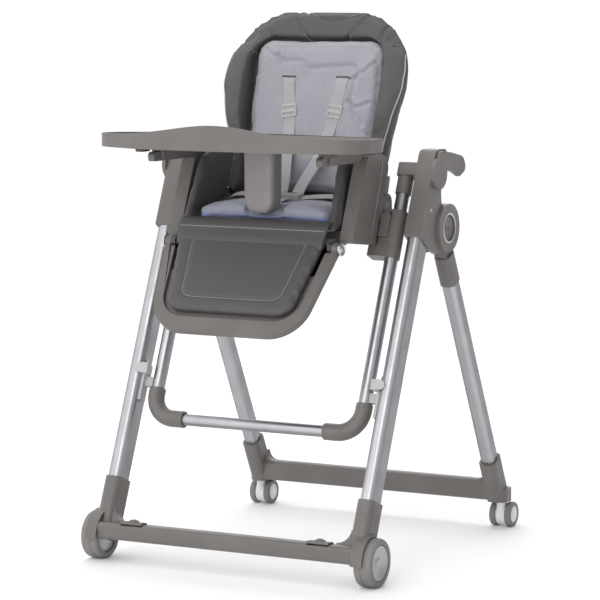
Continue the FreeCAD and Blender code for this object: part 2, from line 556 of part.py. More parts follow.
def seat_shell():
    """Moulded seat pan with footrest lugs, recline uprights and the slider beam."""
    pan_bottom, pan_top = 616.0, 631.0
    pan = plan_plate([(-PLATE_INNER, back(158), 12), (PLATE_INNER, back(158), 12),
                      (PLATE_INNER, back(345), 20), (-PLATE_INNER, back(345), 20)],
                     pan_bottom, pan_top)
    tray_pan = plan_plate([(-140, back(176), 12), (140, back(176), 12), (140, back(330), 12),
                           (-140, back(330), 12)], pan_bottom + 8, pan_top + 2)
    beam = block(-176, 176, back(243), back(272), pan_bottom, pan_top - 2)
    ribs = [block(x - 4, x + 4, back(170), back(335), 598, pan_bottom + 1)
            for x in (-120, -40, 40, 120)]
    uprights = []
    for side in (1, -1):
        upright = side_plate([(back(300), pan_top - 3, 2), (back(360), pan_top - 3, 2),
                              (back(356), 688, 17), (back(320), 688, 17)], 158, PLATE_INNER)
        lug = side_plate([(back(98), 592, 10), (back(176), 610, 2), (back(176), pan_bottom + 8, 2),
                          (back(150), 618, 6), (back(98), 614, 10)], 160, PLATE_INNER)
        pin = rod(5, V(160, back(FOOTREST_BACK), FOOTREST_Z),
                  V(PIN_END + FIT_GAP, back(FOOTREST_BACK), FOOTREST_Z))
        right = join([upright, lug, pin])
        uprights.append(right if side == 1 else mirrored(right))
    bore = rod(RECLINE_PIN + PIN_GAP, V(-200, back(RECLINE_BACK), RECLINE_Z),
               V(200, back(RECLINE_BACK), RECLINE_Z))
    body = join([pan.cut(tray_pan), beam] + ribs)
    return join([body] + uprights).cut(bore)


def seat_cover():
    """Padded leatherette cover over the pan, with two side wings that lean inward."""
    half, wing_top, lean, wing_thick = 167.4, 790.0, 17.0, 17.0
    base = side_plate([(back(SEAT_FRONT_BACK), SEAT_Z, 6), (back(290), SEAT_Z, 4),
                       (back(286), 646, 5), (back(124), 646, 7)], -half, half)
    slab = front_plate([(half - wing_thick, SEAT_Z, 0), (half, SEAT_Z, 0),
                        (half - lean, wing_top, 6), (half - lean - wing_thick, wing_top, 6)],
                       back(SEAT_FRONT_BACK), back(312))
    profile = side_plate([(back(SEAT_FRONT_BACK), SEAT_Z, 6), (back(272), SEAT_Z, 6),
                          (back(310), wing_top, 8), (back(262), wing_top - 2, 40),
                          (back(178), 766, 12)], 0, half)
    wing = slab.common(profile)
    return join([base, wing, mirrored(wing)])


def seat_pad():
    """Loose quilted seat pad, lowered where the crotch post stands."""
    half, front, rear, bottom, top = 136.0, 143.0, 280.0, 646.3, 671.0
    pad = plan_plate([(-half, back(front), 22), (half, back(front), 22),
                      (half - 4, back(rear), 16), (4 - half, back(rear), 16)], bottom, top)
    pad = pad.makeFillet(7, [e for e in pad.Edges if e.BoundBox.ZMin > top - 0.01])
    dip = block(-38, 38, back(100), back(188), 655, top + 20)
    return pad.cut(dip)


# ---------------------------------------------------------------- backrest
def back_outline(inset, bottom, top):
    """Front view of the backrest in its own frame, (x, z, radius), drawn in most at the top."""
    wide, middle, narrow = BACK_HALF - inset, 170.0 - inset / 3, 156.0 - inset / 4
    corner = 126.0 - inset * 0.9
    return [(-narrow, bottom, 16), (narrow, bottom, 16), (middle, 120, 110), (wide, 232, 110),
            (wide - 6, top, corner), (6 - wide, top, corner), (-wide, 232, 110),
            (-middle, 120, 110)]


def backrest_cover():
    """Padded leatherette bucket with side wings and a thick top roll, rounded to the rear."""
    shoulder, rear_inset, bottom = -8.0, 26.0, 20.0
    rear_top = BACK_TOP - 20
    front = front_plate(back_outline(0, bottom, BACK_TOP), WING_FRONT, shoulder)
    ends = [outline_face(back_outline(inset, bottom, top), lambda x, z, y=y: V(x, y, z)).OuterWire
            for y, inset, top in ((shoulder, 0, BACK_TOP), (COVER_BACK, rear_inset, rear_top))]
    body = join([front, Part.makeLoft(ends, True, True)])
    recess = front_plate([(-134, -20, 2), (134, -20, 2), (146, 200, 60), (146, 326, 52),
                          (-146, 326, 52), (-146, 200, 60)], WING_FRONT - 5, RECESS)
    swept = side_plate([(-60, -20, 0), (-26, -20, 0), (-26, 140, 20), (WING_FRONT, 175, 20),
                        (-27, 250, 40), (-20, 292, 40), (-6, 325, 30), (4, 420, 0),
                        (-60, 420, 0)], -2 * BACK_HALF, 2 * BACK_HALF)
    padded = on_backrest(body.cut(recess).cut(swept))
    ear_relief = side_plate([(back(313), 640, 0), (back(380), 640, 0), (back(380), 720, 0),
                             (back(354), 720, 0)], 139.0, BACK_HALF)
    return padded.cut(ear_relief).cut(mirrored(ear_relief))


def backrest_shell():
    """Moulded back panel with the hinge ears at its foot."""
    panel = front_plate(back_outline(32, 14, BACK_TOP - 28), COVER_BACK + FIT_GAP, SHELL_BACK)
    ears = []
    for side in (1, -1):
        ear = side_plate([(back(322), 652, 12), (back(352), 652, 12), (back(372), 720, 4),
                          (back(357), 720, 4)], 141, 157.6)
        pin = rod(RECLINE_PIN, V(142, back(RECLINE_BACK), RECLINE_Z),
                  V(PLATE_INNER, back(RECLINE_BACK), RECLINE_Z))
        right = join([ear, pin])
        ears.append(right if side == 1 else mirrored(right))
    return join([on_backrest(panel)] + ears)


def back_pad():
    """Loose quilted back pad in the bucket's recess."""
    outline = [(-128, 24, 14), (128, 24, 14), (138, 220, 90), (130, 318, 34), (-130, 318, 34),
               (-138, 220, 90)]
    return on_backrest(front_plate(outline, PAD_FRONT, RECESS - FIT_GAP))


# ---------------------------------------------------------------- harness
def strap_run(start, end, width_axis):
    """Flat strap between two points, its width along width_axis."""
    along = end - start
    across = V(width_axis).normalize() * (STRAP_WIDTH / 2)
    normal = along.cross(across).normalize() * STRAP_THICK
    corners = [start - across, start + across, end + across, end - across]
    face = Part.Face(Part.makePolygon(corners + corners[:1]))
    return face.extrude(normal)


def harness_points():
    """Shoulder strap path on the right: slot, over the pad, to the buckle."""
    rise = math.radians(BACK_ANGLE)
    def on_pad(x, along, lift):
        y = back(BACK_BASE_BACK) + along * math.sin(rise) - lift * math.cos(rise)
        z = BACK_BASE_Z + along * math.cos(rise) + lift * math.sin(rise)
        return V(x, y, z)
    return [on_pad(58, 250, 2.0), on_pad(44, 150, 8.5), V(22, back(278), 712)]


def harness_straps():
    """Two shoulder straps, two lap straps and the crotch strap."""
    top, middle, low = harness_points()
    straps = []
    for side in (1, -1):
        upper = strap_run(middle, top, V(1, 0, 0))
        lower = strap_run(low, middle, V(1, 0, 0))
        lap = strap_run(V(132, back(262), 684), V(34, back(254), 682), V(0, 1, 0.2))
        for strap in (upper, lower, lap):
            straps.append(strap if side == 1 else mirrored(strap))
    straps.append(strap_run(V(0, back(200), 673.4), V(0, back(232), 676), V(1, 0, 0)))
    return group(straps)


def harness_buckle():
    """Flat buckle body with a hole for its release button."""
    half = 30.0
    body = plan_plate([(-half, back(BUCKLE_BACK - 17), 9), (half, back(BUCKLE_BACK - 17), 9),
                       (half, back(BUCKLE_BACK + 17), 9), (-half, back(BUCKLE_BACK + 17), 9)],
                      BUCKLE_Z, BUCKLE_Z + 14)
    hole = Part.makeCylinder(9.3, 20, V(0, back(BUCKLE_BACK), BUCKLE_Z + 5))
    return body.cut(hole)


def buckle_button():
    """Release button that is pressed down into the buckle."""
    return Part.makeCylinder(9, 6, V(0, back(BUCKLE_BACK), BUCKLE_Z + 9.5))


def strap_adjusters():
    """Three-bar slides on the shoulder straps, turned to lie along them."""
    turn = 8.0
    frames = []
    outer = front_plate([(-15, -13, 3), (15, -13, 3), (15, 13, 3), (-15, 13, 3)], -4.2, 1.0)
    for z in (-7, 5):
        outer = outer.cut(block(-12.6, 12.6, -10, 10, z - 2.4, z + 3.4))
    outer = outer.cut(block(-12.8, 12.8, -2.0, 2, -20, 20))
    outer = outer.rotated(V(0, 0, 0), V(0, 1, 0), turn)
    slide = on_backrest(outer.translated(V(49, -5.5, 186)))
    frames += [slide, mirrored(slide)]
    return group(frames)


# ---------------------------------------------------------------- footrest
def footrest_frame():
    """U-shaped frame that hangs from the seat and borders the calf panel."""
    top_half, low_half = 173.0, 152.0
    outer = [(-low_half, -FOOTREST_DROP, 74), (low_half, -FOOTREST_DROP, 74),
             (top_half + 10, 10, 9), (-top_half - 10, 10, 9)]
    inner = [(12 - low_half, 30 - FOOTREST_DROP, 54), (low_half - 12, 30 - FOOTREST_DROP, 54),
             (top_half - 8.5, 40, 3), (8.5 - top_half, 40, 3)]
    frame = front_plate(outer, -BAR_THICK / 2, BAR_THICK / 2)
    frame = frame.cut(front_plate(inner, -BAR_THICK, BAR_THICK))
    backing = front_plate([(-low_half + 6, 24 - FOOTREST_DROP, 50),
                           (low_half - 6, 24 - FOOTREST_DROP, 50),
                           (low_half + 6, -60, 4), (-low_half - 6, -60, 4)], 2, 6)
    bosses = []
    for side in (1, -1):
        boss = rod(11, V(168.7, 0, 0), V(PIN_END, 0, 0))
        bosses.append(boss if side == 1 else mirrored(boss))
    frame = join([frame, backing] + bosses)
    bore = rod(5 + PIN_GAP, V(-200, 0, 0), V(200, 0, 0))
    room = block(-168.4, 168.4, -20, 20, -14, 30)
    return on_footrest(frame.cut(room).cut(bore))


def footrest_pad():
    """Padded calf panel in the footrest frame."""
    outline = [(-134, 36 - FOOTREST_DROP, 42), (134, 36 - FOOTREST_DROP, 42), (159, 20, 6),
               (-159, 20, 6)]
    return on_footrest(front_plate(outline, -16, 1.7))


def footrest_caps():
    """Metal caps on the ends of the footrest's pivot pins."""
    cap = rod(13, V(PIN_END + FIT_GAP, back(FOOTREST_BACK), FOOTREST_Z),
              V(PIN_END + 5, back(FOOTREST_BACK), FOOTREST_Z))
    cap = cap.makeFillet(2, [e for e in cap.Edges if e.BoundBox.XMin > PIN_END + 4.9])
    return group([cap, mirrored(cap)])


# ---------------------------------------------------------------- tray
def tray_outline(inset):
    """Plan of the tray drawn in by inset: bowed front, round corners, shallow waist at the rear."""
    half, front, rear = TRAY_HALF - inset, TRAY_FRONT + inset, TRAY_REAR - inset
    return [(-half, back(4 + inset), 62), (-150, back(front), 220), (150, back(front), 220),
            (half, back(4 + inset), 62), (half, back(92), 60), (half - 56, back(rear), 42),
            (110, back(rear), 60), (70, back(rear - 14), 60), (-70, back(rear - 14), 60),
            (-110, back(rear), 60), (56 - half, back(rear), 42), (-half, back(92), 60)]


def tray_top_cutter():
    """Solid above the tray's rim: a raised crest at the front falls to a low rear rim."""
    front_y, rear_y, high = back(TRAY_FRONT - 10), back(TRAY_REAR + 10), 900.0
    wide = TRAY_HALF + 20
    crest = TRAY_CREST_TOP - TRAY_SIDE_TOP
    wires = []
    for y, level, rise in ((front_y, TRAY_SIDE_TOP, crest), (rear_y, TRAY_REAR_TOP, 0.0)):
        points = []
        for step in range(13):
            x = wide * (step / 6.0 - 1.0)
            bell = math.exp(-(x / 120.0) ** 2)
            points.append(V(x, y, level + rise * bell))
        curve = Part.BSplineCurve()
        curve.interpolate(points)
        edges = [curve.toShape(), Part.makeLine(points[-1], V(wide, y, high)),
                 Part.makeLine(V(wide, y, high), V(-wide, y, high)),
                 Part.makeLine(V(-wide, y, high), points[0])]
        wires.append(Part.Wire(edges))
    return Part.makeLoft(wires, True, True)


def tray():
    """Tray body with its rim, the runners that hold the armrests and the latch guides."""
    tall = TRAY_CREST_TOP + 10
    body = plan_plate(tray_outline(0), TRAY_BOTTOM, tall)
    body = body.cut(plan_plate(tray_outline(TRAY_WALL), TRAY_BOTTOM + TRAY_FLOOR, tall + 5))
    body = body.cut(tray_top_cutter())
    for side in (1, -1):
        saddle = block(162, ARM_OUTER + 5, back(60), back(190), ARM_BOTTOM + 4, TRAY_BOTTOM + 1)
        saddle = saddle.cut(block(PLATE_INNER - 0.6, ARM_OUTER + 0.6, back(50), back(200),
                                  ARM_BOTTOM, ARM_TOP + 0.5))
        body = body.fuse(saddle if side == 1 else mirrored(saddle))
    return body.removeSplitter()


def tray_insert():
    """Removable liner that lies in the tray."""
    floor, wall, height = 2.0, 2.0, 12.0
    base = TRAY_BOTTOM + TRAY_FLOOR + FIT_GAP
    inset = TRAY_WALL + 1.0
    body = plan_plate(tray_outline(inset), base, base + height)
    body = body.cut(plan_plate(tray_outline(inset + wall), base + floor, base + height + 5))
    return body.cut(tray_top_cutter().translated(V(0, 0, -1.5)))


def tray_latch():
    """Thumb latch under the tray, beside the armrest tip."""
    return plan_plate([(ARM_OUTER + 4, back(26), 5), (ARM_OUTER + 24, back(26), 9),
                       (ARM_OUTER + 24, back(56), 9), (ARM_OUTER + 4, back(56), 5)],
                      ARM_TOP + 0.5, TRAY_BOTTOM - FIT_GAP)


def crotch_post():
    """Rounded post under the tray that keeps the child from sliding out."""
    half, front, rear, bottom = 31.0, 126.0, 174.0, 659.0
    post = front_plate([(-half, bottom, 24), (half, bottom, 24), (half + 2, TRAY_BOTTOM, 0),
                        (-half - 2, TRAY_BOTTOM, 0)], back(front), back(rear))
    upright = [e for e in post.Edges if e.BoundBox.ZLength > 60]
    return post.makeFillet(6, upright)


# ---------------------------------------------------------------- the chair
SINGLE_PIECES = {
    "front_base": front_base,
    "housing_screws": housing_screws,
    "guide_cross_tube": guide_cross_tube,
    "guide_brackets": guide_brackets,
    "guide_clips": guide_clips,
    "rear_base": rear_base,
    "seat_shell": seat_shell,
    "seat_cover": seat_cover,
    "seat_pad": seat_pad,
    "backrest_shell": backrest_shell,
    "backrest_cover": backrest_cover,
    "back_pad": back_pad,
    "harness_straps": harness_straps,
    "harness_buckle": harness_buckle,
    "buckle_button": buckle_button,
    "strap_adjusters": strap_adjusters,
    "footrest_frame": footrest_frame,
    "footrest_pad": footrest_pad,
    "footrest_caps": footrest_caps,
    "tray": tray,
    "tray_insert": tray_insert,
    "crotch_post": crotch_post,
}

PAIRED_PIECES = {
    "front_leg_lower": front_leg_lower,
    "front_leg_upper": front_leg_upper,
    "leg_housing": leg_housing,
    "fold_lever": fold_lever,
    "hub_button": hub_button,
    "guide_tube": guide_tube,
    "guide_elbow": guide_elbow,
    "front_wheel_tyre": front_wheel_tyre,
    "front_wheel_hub": front_wheel_hub,
    "brake_pedal": brake_pedal,
    "rear_leg_upper": rear_leg_upper,
    "rear_leg_lower": rear_leg_lower,
    "rear_leg_socket": rear_leg_socket,
    "caster_hood": caster_hood,
    "caster_wheels": caster_wheels,
    "seat_side": seat_side,
    "slider": slider,
    "slider_button": slider_button,
    "tray_latch": tray_latch,
}


def main():
    """Write every piece to its own file."""
    os.makedirs("parts", exist_ok=True)
    for name, make in SINGLE_PIECES.items():
        make().exportStep("parts/" + name + ".step")
    for name, make in PAIRED_PIECES.items():
        right = make()
        right.exportStep("parts/" + name + "_right.step")
        mirrored(right).exportStep("parts/" + name + "_left.step")


main()
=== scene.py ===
"""Visual model of a wheeled baby high chair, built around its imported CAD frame.

Metres throughout. +Z is up, the child faces -Y and the chair is symmetrical about X = 0.
"""
import json
import logging
import math
from dataclasses import dataclass
from enum import Enum

import bmesh
import bpy
import numpy as np
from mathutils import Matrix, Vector
from mathutils.bvhtree import BVHTree


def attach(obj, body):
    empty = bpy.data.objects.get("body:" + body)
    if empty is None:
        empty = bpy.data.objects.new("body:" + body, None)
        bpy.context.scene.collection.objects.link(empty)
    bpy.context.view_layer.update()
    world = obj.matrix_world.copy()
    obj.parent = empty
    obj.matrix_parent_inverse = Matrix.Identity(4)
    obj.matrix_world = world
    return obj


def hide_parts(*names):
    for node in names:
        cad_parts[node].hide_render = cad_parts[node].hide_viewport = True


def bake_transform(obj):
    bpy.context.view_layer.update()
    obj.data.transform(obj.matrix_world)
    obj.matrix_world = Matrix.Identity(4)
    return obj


LOG = logging.getLogger("high_chair")
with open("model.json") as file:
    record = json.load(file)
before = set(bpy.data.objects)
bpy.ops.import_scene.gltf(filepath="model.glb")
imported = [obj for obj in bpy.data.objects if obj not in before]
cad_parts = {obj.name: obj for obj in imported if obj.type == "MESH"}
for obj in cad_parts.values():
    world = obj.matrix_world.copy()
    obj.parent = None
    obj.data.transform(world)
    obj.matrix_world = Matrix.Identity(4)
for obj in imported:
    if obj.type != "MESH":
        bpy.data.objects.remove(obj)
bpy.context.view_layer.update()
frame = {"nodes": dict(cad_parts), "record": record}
RECORD = frame["record"]
BODY_OF = {n: b for b, ns in RECORD["behaviour"]["bodies"].items() for n in ns}
SIDES = (("right", 1.0), ("left", -1.0))
MM = 0.001
FEET_Y = -0.3225
BACK_LEAN = math.radians(15.6)
BACK_ORIGIN = np.array([0.0, FEET_Y + 0.308, 0.660])
FOOTREST_SLOPE = math.radians(38.0)
FOOTREST_ORIGIN = np.array([0.0, FEET_Y + 0.109, 0.603])


# ---------------------------------------------------------------- small helpers
def leaning(origin: np.ndarray, angle: float, points: np.ndarray) -> np.ndarray:
    """Carry points from a leaning part's own frame to the row frame.

    The own frame has X across, Y through the thickness to the rear and Z up the slope; it is
    turned about X by the angle and moved to the origin.

    Args:
        origin: The own frame's origin in the row frame.
        angle: How far its Z leans to the rear, in radians.
        points: Array (..., 3) in the own frame.

    Returns:
        The points in the row frame, same shape.
    """
    x, y, z = points[..., 0], points[..., 1], points[..., 2]
    c, s = math.cos(angle), math.sin(angle)
    return np.stack([x, y * c + z * s, z * c - y * s], axis=-1) + origin


def on_back(points: np.ndarray) -> np.ndarray:
    """Backrest frame to row frame."""
    return leaning(BACK_ORIGIN, BACK_LEAN, np.asarray(points, float))


def on_footrest(points: np.ndarray) -> np.ndarray:
    """Footrest frame to row frame."""
    return leaning(FOOTREST_ORIGIN, FOOTREST_SLOPE, np.asarray(points, float))


# Straight through the backrest from front to rear, and the waves of creased cloth (kx, ky, kz in
# radians per metre, then the phase).
BACK_AIM = leaning(np.zeros(3), BACK_LEAN, np.array([0.0, 1.0, 0.0]))
RIPPLES = ((61.0, 10.0, 24.0, 0.4), (-35.0, 22.0, 58.0, 1.9), (17.0, -44.0, -72.0, 3.1),
           (95.0, 31.0, 40.0, 5.0), (-82.0, 12.0, 90.0, 2.4))


def circle(count: int) -> np.ndarray:
    """Angles of points spaced evenly round a circle, in radians."""
    return np.linspace(0, 2 * math.pi, count, endpoint=False)


def curve_through(points: list, count: int) -> np.ndarray:
    """Smooth line through points: Catmull-Rom, sampled evenly by length.

    Between two points P1 and P2 with neighbours P0 and P3 the line is the cubic
    0.5 * (2 P1 + (P2 - P0) s + (2 P0 - 5 P1 + 4 P2 - P3) s^2 + (3 P1 - P0 - 3 P2 + P3) s^3).

    Args:
        points: The points to pass through, any number of dimensions.
        count: How many samples to return.

    Returns:
        Array (count, dimensions).
    """
    p = np.asarray(points, float)
    p = np.vstack([2 * p[0] - p[1], p, 2 * p[-1] - p[-2]])
    s = np.linspace(0, 1, 16, endpoint=False)[None, :, None]
    a, b, c, d = (p[i:len(p) - 3 + i, None, :] for i in range(4))
    fine = 0.5 * (2 * b + (c - a) * s + (2 * a - 5 * b + 4 * c - d) * s ** 2
                  + (3 * b - a - 3 * c + d) * s ** 3)
    fine = np.vstack([fine.reshape(-1, p.shape[1]), p[-2]])
    run = np.concatenate([[0], np.cumsum(np.linalg.norm(np.diff(fine, axis=0), axis=1))])
    at = np.linspace(0, run[-1], count)
    return np.stack([np.interp(at, run, fine[:, k]) for k in range(fine.shape[1])], axis=1)


def grid_faces(rows: int, columns: int, wrap_rows: bool, wrap_columns: bool) -> np.ndarray:
    """Quads of a grid whose vertex (i, j) has number i * columns + j.

    Args:
        rows: Rows of vertices.
        columns: Columns of vertices.
        wrap_rows: Whether the last row joins the first.
        wrap_columns: Whether the last column joins the first.

    Returns:
        Array (faces, 4) of vertex numbers.
    """
    i, j = np.meshgrid(np.arange(rows if wrap_rows else rows - 1),
                       np.arange(columns if wrap_columns else columns - 1), indexing="ij")
    i, j = i.ravel(), j.ravel()
    up, along = (i + 1) % rows, (j + 1) % columns
    return np.stack([i * columns + j, i * columns + along, up * columns + along,
                     up * columns + j], axis=1)


def shade_smooth(mesh: bpy.types.Mesh) -> None:
    """Shade every face of a mesh smooth."""
    mesh.polygons.foreach_set("use_smooth", [True] * len(mesh.polygons))


def linked(name: str, mesh: bpy.types.Mesh) -> bpy.types.Object:
    """Put a mesh into the scene.

    Args:
        name: Object name.
        mesh: The mesh, in the row frame.

    Returns:
        The object, at the origin.
    """
    piece = bpy.data.objects.new(name, mesh)
    bpy.context.scene.collection.objects.link(piece)
    return piece


def node_copy(node: str, name: str, merge_flats: bool) -> bpy.types.Object:
    """Copy a CAD node's mesh and merge its loose triangles.

    Args:
        node: The CAD node.
        name: Name of the copy.
        merge_flats: Also join the triangles of each flat face into one.

    Returns:
        The copy, which is linked; the node itself is left alone.
    """
    mesh = frame["nodes"][node].data.copy()
    work = bmesh.new()
    work.from_mesh(mesh)
    bmesh.ops.remove_doubles(work, verts=work.verts, dist=2e-5)
    if merge_flats:
        bmesh.ops.dissolve_degenerate(work, edges=work.edges, dist=1e-5)
        bmesh.ops.dissolve_limit(work, angle_limit=math.radians(0.6), verts=work.verts,
                                 edges=work.edges)
    work.to_mesh(mesh)
    work.free()
    mesh.name = name
    mesh.materials.clear()
    return linked(name, mesh)


def new_piece(name: str, vertices: np.ndarray, faces: list,
              recalculate: bool = True) -> bpy.types.Object:
    """Make a linked mesh object at the origin.

    Args:
        name: Object name.
        vertices: Array (n, 3) in the row frame.
        faces: Vertex numbers of each face.
        recalculate: Merge doubles and turn all faces outwards.

    Returns:
        The object, shaded smooth.
    """
    mesh = bpy.data.meshes.new(name)
    mesh.from_pydata(np.asarray(vertices, float).reshape(-1, 3).tolist(), [],
                     [list(map(int, f)) for f in faces])
    if recalculate:
        work = bmesh.new()
        work.from_mesh(mesh)
        bmesh.ops.remove_doubles(work, verts=work.verts, dist=1e-6)
        bmesh.ops.recalc_face_normals(work, faces=work.faces)
        work.to_mesh(mesh)
        work.free()
    shade_smooth(mesh)
    return linked(name, mesh)


def revolved(name: str, profile: list, centre: tuple, steps: int = 72,
             way: float = 1.0) -> bpy.types.Object:
    """Turn a closed profile about an axis parallel to X.

    Vertex (i, j) is centre + (way a_i, r_i cos w_j, r_i sin w_j), where (a_i, r_i) is the
    profile's place along the axis and its radius, and w_j runs round the circle.

    Args:
        name: Object name.
        profile: Closed list of (along X, radius) in metres.
        centre: Point on the axis.
        steps: Vertices round the circle.
        way: 1 keeps the profile as it is, -1 mirrors it along the axis.

    Returns:
        The object.
    """
    p = np.asarray(profile, float) * (way, 1.0)
    w = circle(steps)
    shape = np.stack([np.repeat(p[:, :1], steps, 1), p[:, 1:] * np.cos(w), p[:, 1:] * np.sin(w)],
                     axis=-1)
    return new_piece(name, shape.reshape(-1, 3) + np.asarray(centre),
                     grid_faces(len(p), steps, True, True))


def rounded_profile(corners: list, steps: int = 5) -> list:
    """Round the corners of a closed profile.

    Each corner (a, b, radius) becomes a quadratic arc from its tangent point on one side to that
    on the other, with the corner itself as the middle control point.

    Args:
        corners: Closed list of (a, b, radius).
        steps: Points on each arc.

    Returns:
        Closed list of (a, b).
    """
    p = np.array([c[:2] for c in corners], float)
    radius = np.array([c[2] for c in corners], float)[:, None]
    to_last, to_next = np.roll(p, 1, 0) - p, np.roll(p, -1, 0) - p
    reach_last = np.minimum(radius, np.linalg.norm(to_last, axis=1, keepdims=True) * 0.49)
    reach_next = np.minimum(radius, np.linalg.norm(to_next, axis=1, keepdims=True) * 0.49)
    start = p + to_last / np.linalg.norm(to_last, axis=1, keepdims=True) * reach_last
    end = p + to_next / np.linalg.norm(to_next, axis=1, keepdims=True) * reach_next
    s = np.linspace(0, 1, steps)[None, :, None]
    arcs = start[:, None] * (1 - s) ** 2 + 2 * p[:, None] * s * (1 - s) + end[:, None] * s ** 2
    return [tuple(q) for q in arcs.reshape(-1, 2)]


def swept(name: str, path: np.ndarray, section: np.ndarray, across: np.ndarray) -> bpy.types.Object:
    """Carry a closed section along an open path, with flat ends.

    At path point i with tangent T, side B = across made square to T, and N = T x B, section
    vertex (u, v) goes to path_i + u B + v N.

    Args:
        name: Object name.
        path: Array (n, 3).
        section: Array (m, 2), closed.
        across: Array (3,) or (n, 3), the wanted direction of the section's first axis.

    Returns:
        The object, with a UV map in metres along (u, length).
    """
    tangent = np.gradient(path, axis=0)
    tangent /= np.linalg.norm(tangent, axis=1, keepdims=True)
    side = np.broadcast_to(np.asarray(across, float), path.shape)
    side = side - (side * tangent).sum(1, keepdims=True) * tangent
    side /= np.linalg.norm(side, axis=1, keepdims=True)
    normal = np.cross(tangent, side)
    section = np.asarray(section, float)
    grid = (path[:, None] + section[None, :, :1] * side[:, None]
            + section[None, :, 1:] * normal[:, None])
    n, m = len(path), len(section)
    faces = grid_faces(n, m, False, True).tolist()
    faces += [list(range(m))[::-1], [(n - 1) * m + k for k in range(m)]]
    piece = new_piece(name, grid.reshape(-1, 3), faces)
    run = np.concatenate([[0], np.cumsum(np.linalg.norm(np.diff(path, axis=0), axis=1))])
    uv = np.stack([np.broadcast_to(section[None, :, 0], (n, m)),
                   np.broadcast_to(run[:, None], (n, m))], axis=-1).reshape(-1, 2)
    write_uv(piece, uv)
    return piece


def write_uv(piece: bpy.types.Object, uv: np.ndarray) -> None:
    """Give a mesh a UV map from one coordinate pair per vertex.

    Args:
        piece: The mesh object.
        uv: Array (n, 2), in the order of the vertices.
    """
    mesh = piece.data
    loops = np.empty(len(mesh.loops), np.int32)
    mesh.loops.foreach_get("vertex_index", loops)
    layer = mesh.uv_layers.new(name="cloth")
    layer.data.foreach_set("uv", uv[loops].astype(np.float32).ravel())


def joined(name: str, pieces: list) -> bpy.types.Object:
    """Join pieces into the first and rename it.

    Args:
        name: Name of the whole.
        pieces: The mesh objects.

    Returns:
        The first piece, which now holds them all.
    """
    with bpy.context.temp_override(active_object=pieces[0], object=pieces[0],
                                   selected_objects=pieces, selected_editable_objects=pieces):
        bpy.ops.object.join()
    pieces[0].name = name
    pieces[0].data.name = name
    return pieces[0]


def flatten(piece: bpy.types.Object) -> bpy.types.Object:
    """Apply a piece's modifiers to its mesh.

    Args:
        piece: The mesh object.

    Returns:
        The same piece, with no modifiers left.
    """
    seen = piece.evaluated_get(bpy.context.evaluated_depsgraph_get())
    mesh = bpy.data.meshes.new_from_object(seen)
    piece.modifiers.clear()
    piece.data = mesh
    return piece


def vertices_of(piece: bpy.types.Object) -> np.ndarray:
    """The mesh's vertices, array (n, 3)."""
    flat = np.empty(len(piece.data.vertices) * 3)
    piece.data.vertices.foreach_get("co", flat)
    return flat.reshape(-1, 3)


def normals_of(piece: bpy.types.Object) -> np.ndarray:
    """The mesh's vertex normals, array (n, 3)."""
    flat = np.empty(len(piece.data.vertices) * 3)
    piece.data.vertex_normals.foreach_get("vector", flat)
    return flat.reshape(-1, 3)


def move_to(piece: bpy.types.Object, points: np.ndarray) -> None:
    """Write the mesh's vertices, array (n, 3)."""
    piece.data.vertices.foreach_set("co", np.asarray(points, np.float32).ravel())
    piece.data.update()


def hand_over(piece: bpy.types.Object, node: str, finish: "Finish", stands_for: bool = True,
              body: str | None = None) -> bpy.types.Object:
    """Dress a piece in its finish, and tie it to the body of a CAD node.

    Args:
        piece: The finished piece.
        node: The CAD node it belongs with.
        finish: Its material.
        stands_for: Whether it replaces that node.
        body: Another body to ride on.

    Returns:
        The piece.
    """
    piece.data.materials.clear()
    piece.data.materials.append(finish.material())
    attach(piece, body or BODY_OF[node])
    if stands_for:
        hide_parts(node)
    LOG.info("%s: %d faces", piece.name, len(piece.data.polygons))
    return piece


# ---------------------------------------------------------------- shader groups
class Graph:
    """Adds nodes and links to one node tree."""

    def __init__(self, tree: bpy.types.NodeTree) -> None:
        """Keep the tree."""
        self.tree = tree

    def add(self, kind: str, inputs: dict | None = None, **settings: object) -> bpy.types.Node:
        """Add a node.

        Args:
            kind: Node type name.
            inputs: Socket name or number to a value or to the socket that feeds it.
            settings: Properties of the node.

        Returns:
            The node.
        """
        node = self.tree.nodes.new(kind)
        for key, value in settings.items():
            setattr(node, key, value)
        for key, value in (inputs or {}).items():
            if isinstance(value, bpy.types.NodeSocket):
                self.tree.links.new(value, node.inputs[key])
            else:
                node.inputs[key].default_value = value
        return node

    def math(self, operation: str, first: object, second: object = 0.0) -> bpy.types.NodeSocket:
        """Add a Math node and return its output."""
        return self.add("ShaderNodeMath", {0: first, 1: second}, operation=operation).outputs[0]

    def ramp(self, value: object, low: float, high: float, to_low: float = 0.0,
             to_high: float = 1.0) -> bpy.types.NodeSocket:
        """Map a value's range to another, clamped, and return the output."""
        return self.add("ShaderNodeMapRange", {0: value, 1: low, 2: high, 3: to_low, 4: to_high}
                        ).outputs[0]

    def mix(self, amount: object, first: object, second: object,
            blend: str = "MIX") -> bpy.types.NodeSocket:
        """Mix two colours.

        Args:
            amount: Share of the second colour, a number or a socket.
            first: First colour, RGBA or a socket.
            second: Second colour, RGBA or a socket.
            blend: How they are blended.

        Returns:
            The mixed colour's socket.
        """
        node = self.add("ShaderNodeMix", data_type="RGBA", blend_type=blend)
        for key, value in ((0, amount), (6, first), (7, second)):
            if isinstance(value, bpy.types.NodeSocket):
                self.tree.links.new(value, node.inputs[key])
            else:
                node.inputs[key].default_value = value
        return node.outputs[2]


class GroupKind(Enum):
    """The shared surface effects."""

    GRAIN = "MouldedGrain"
    LEATHER = "HideGrain"
    WEAVE = "PlainWeave"
    DRAWN = "DrawnMetal"
    DRIFT = "ToneDrift"


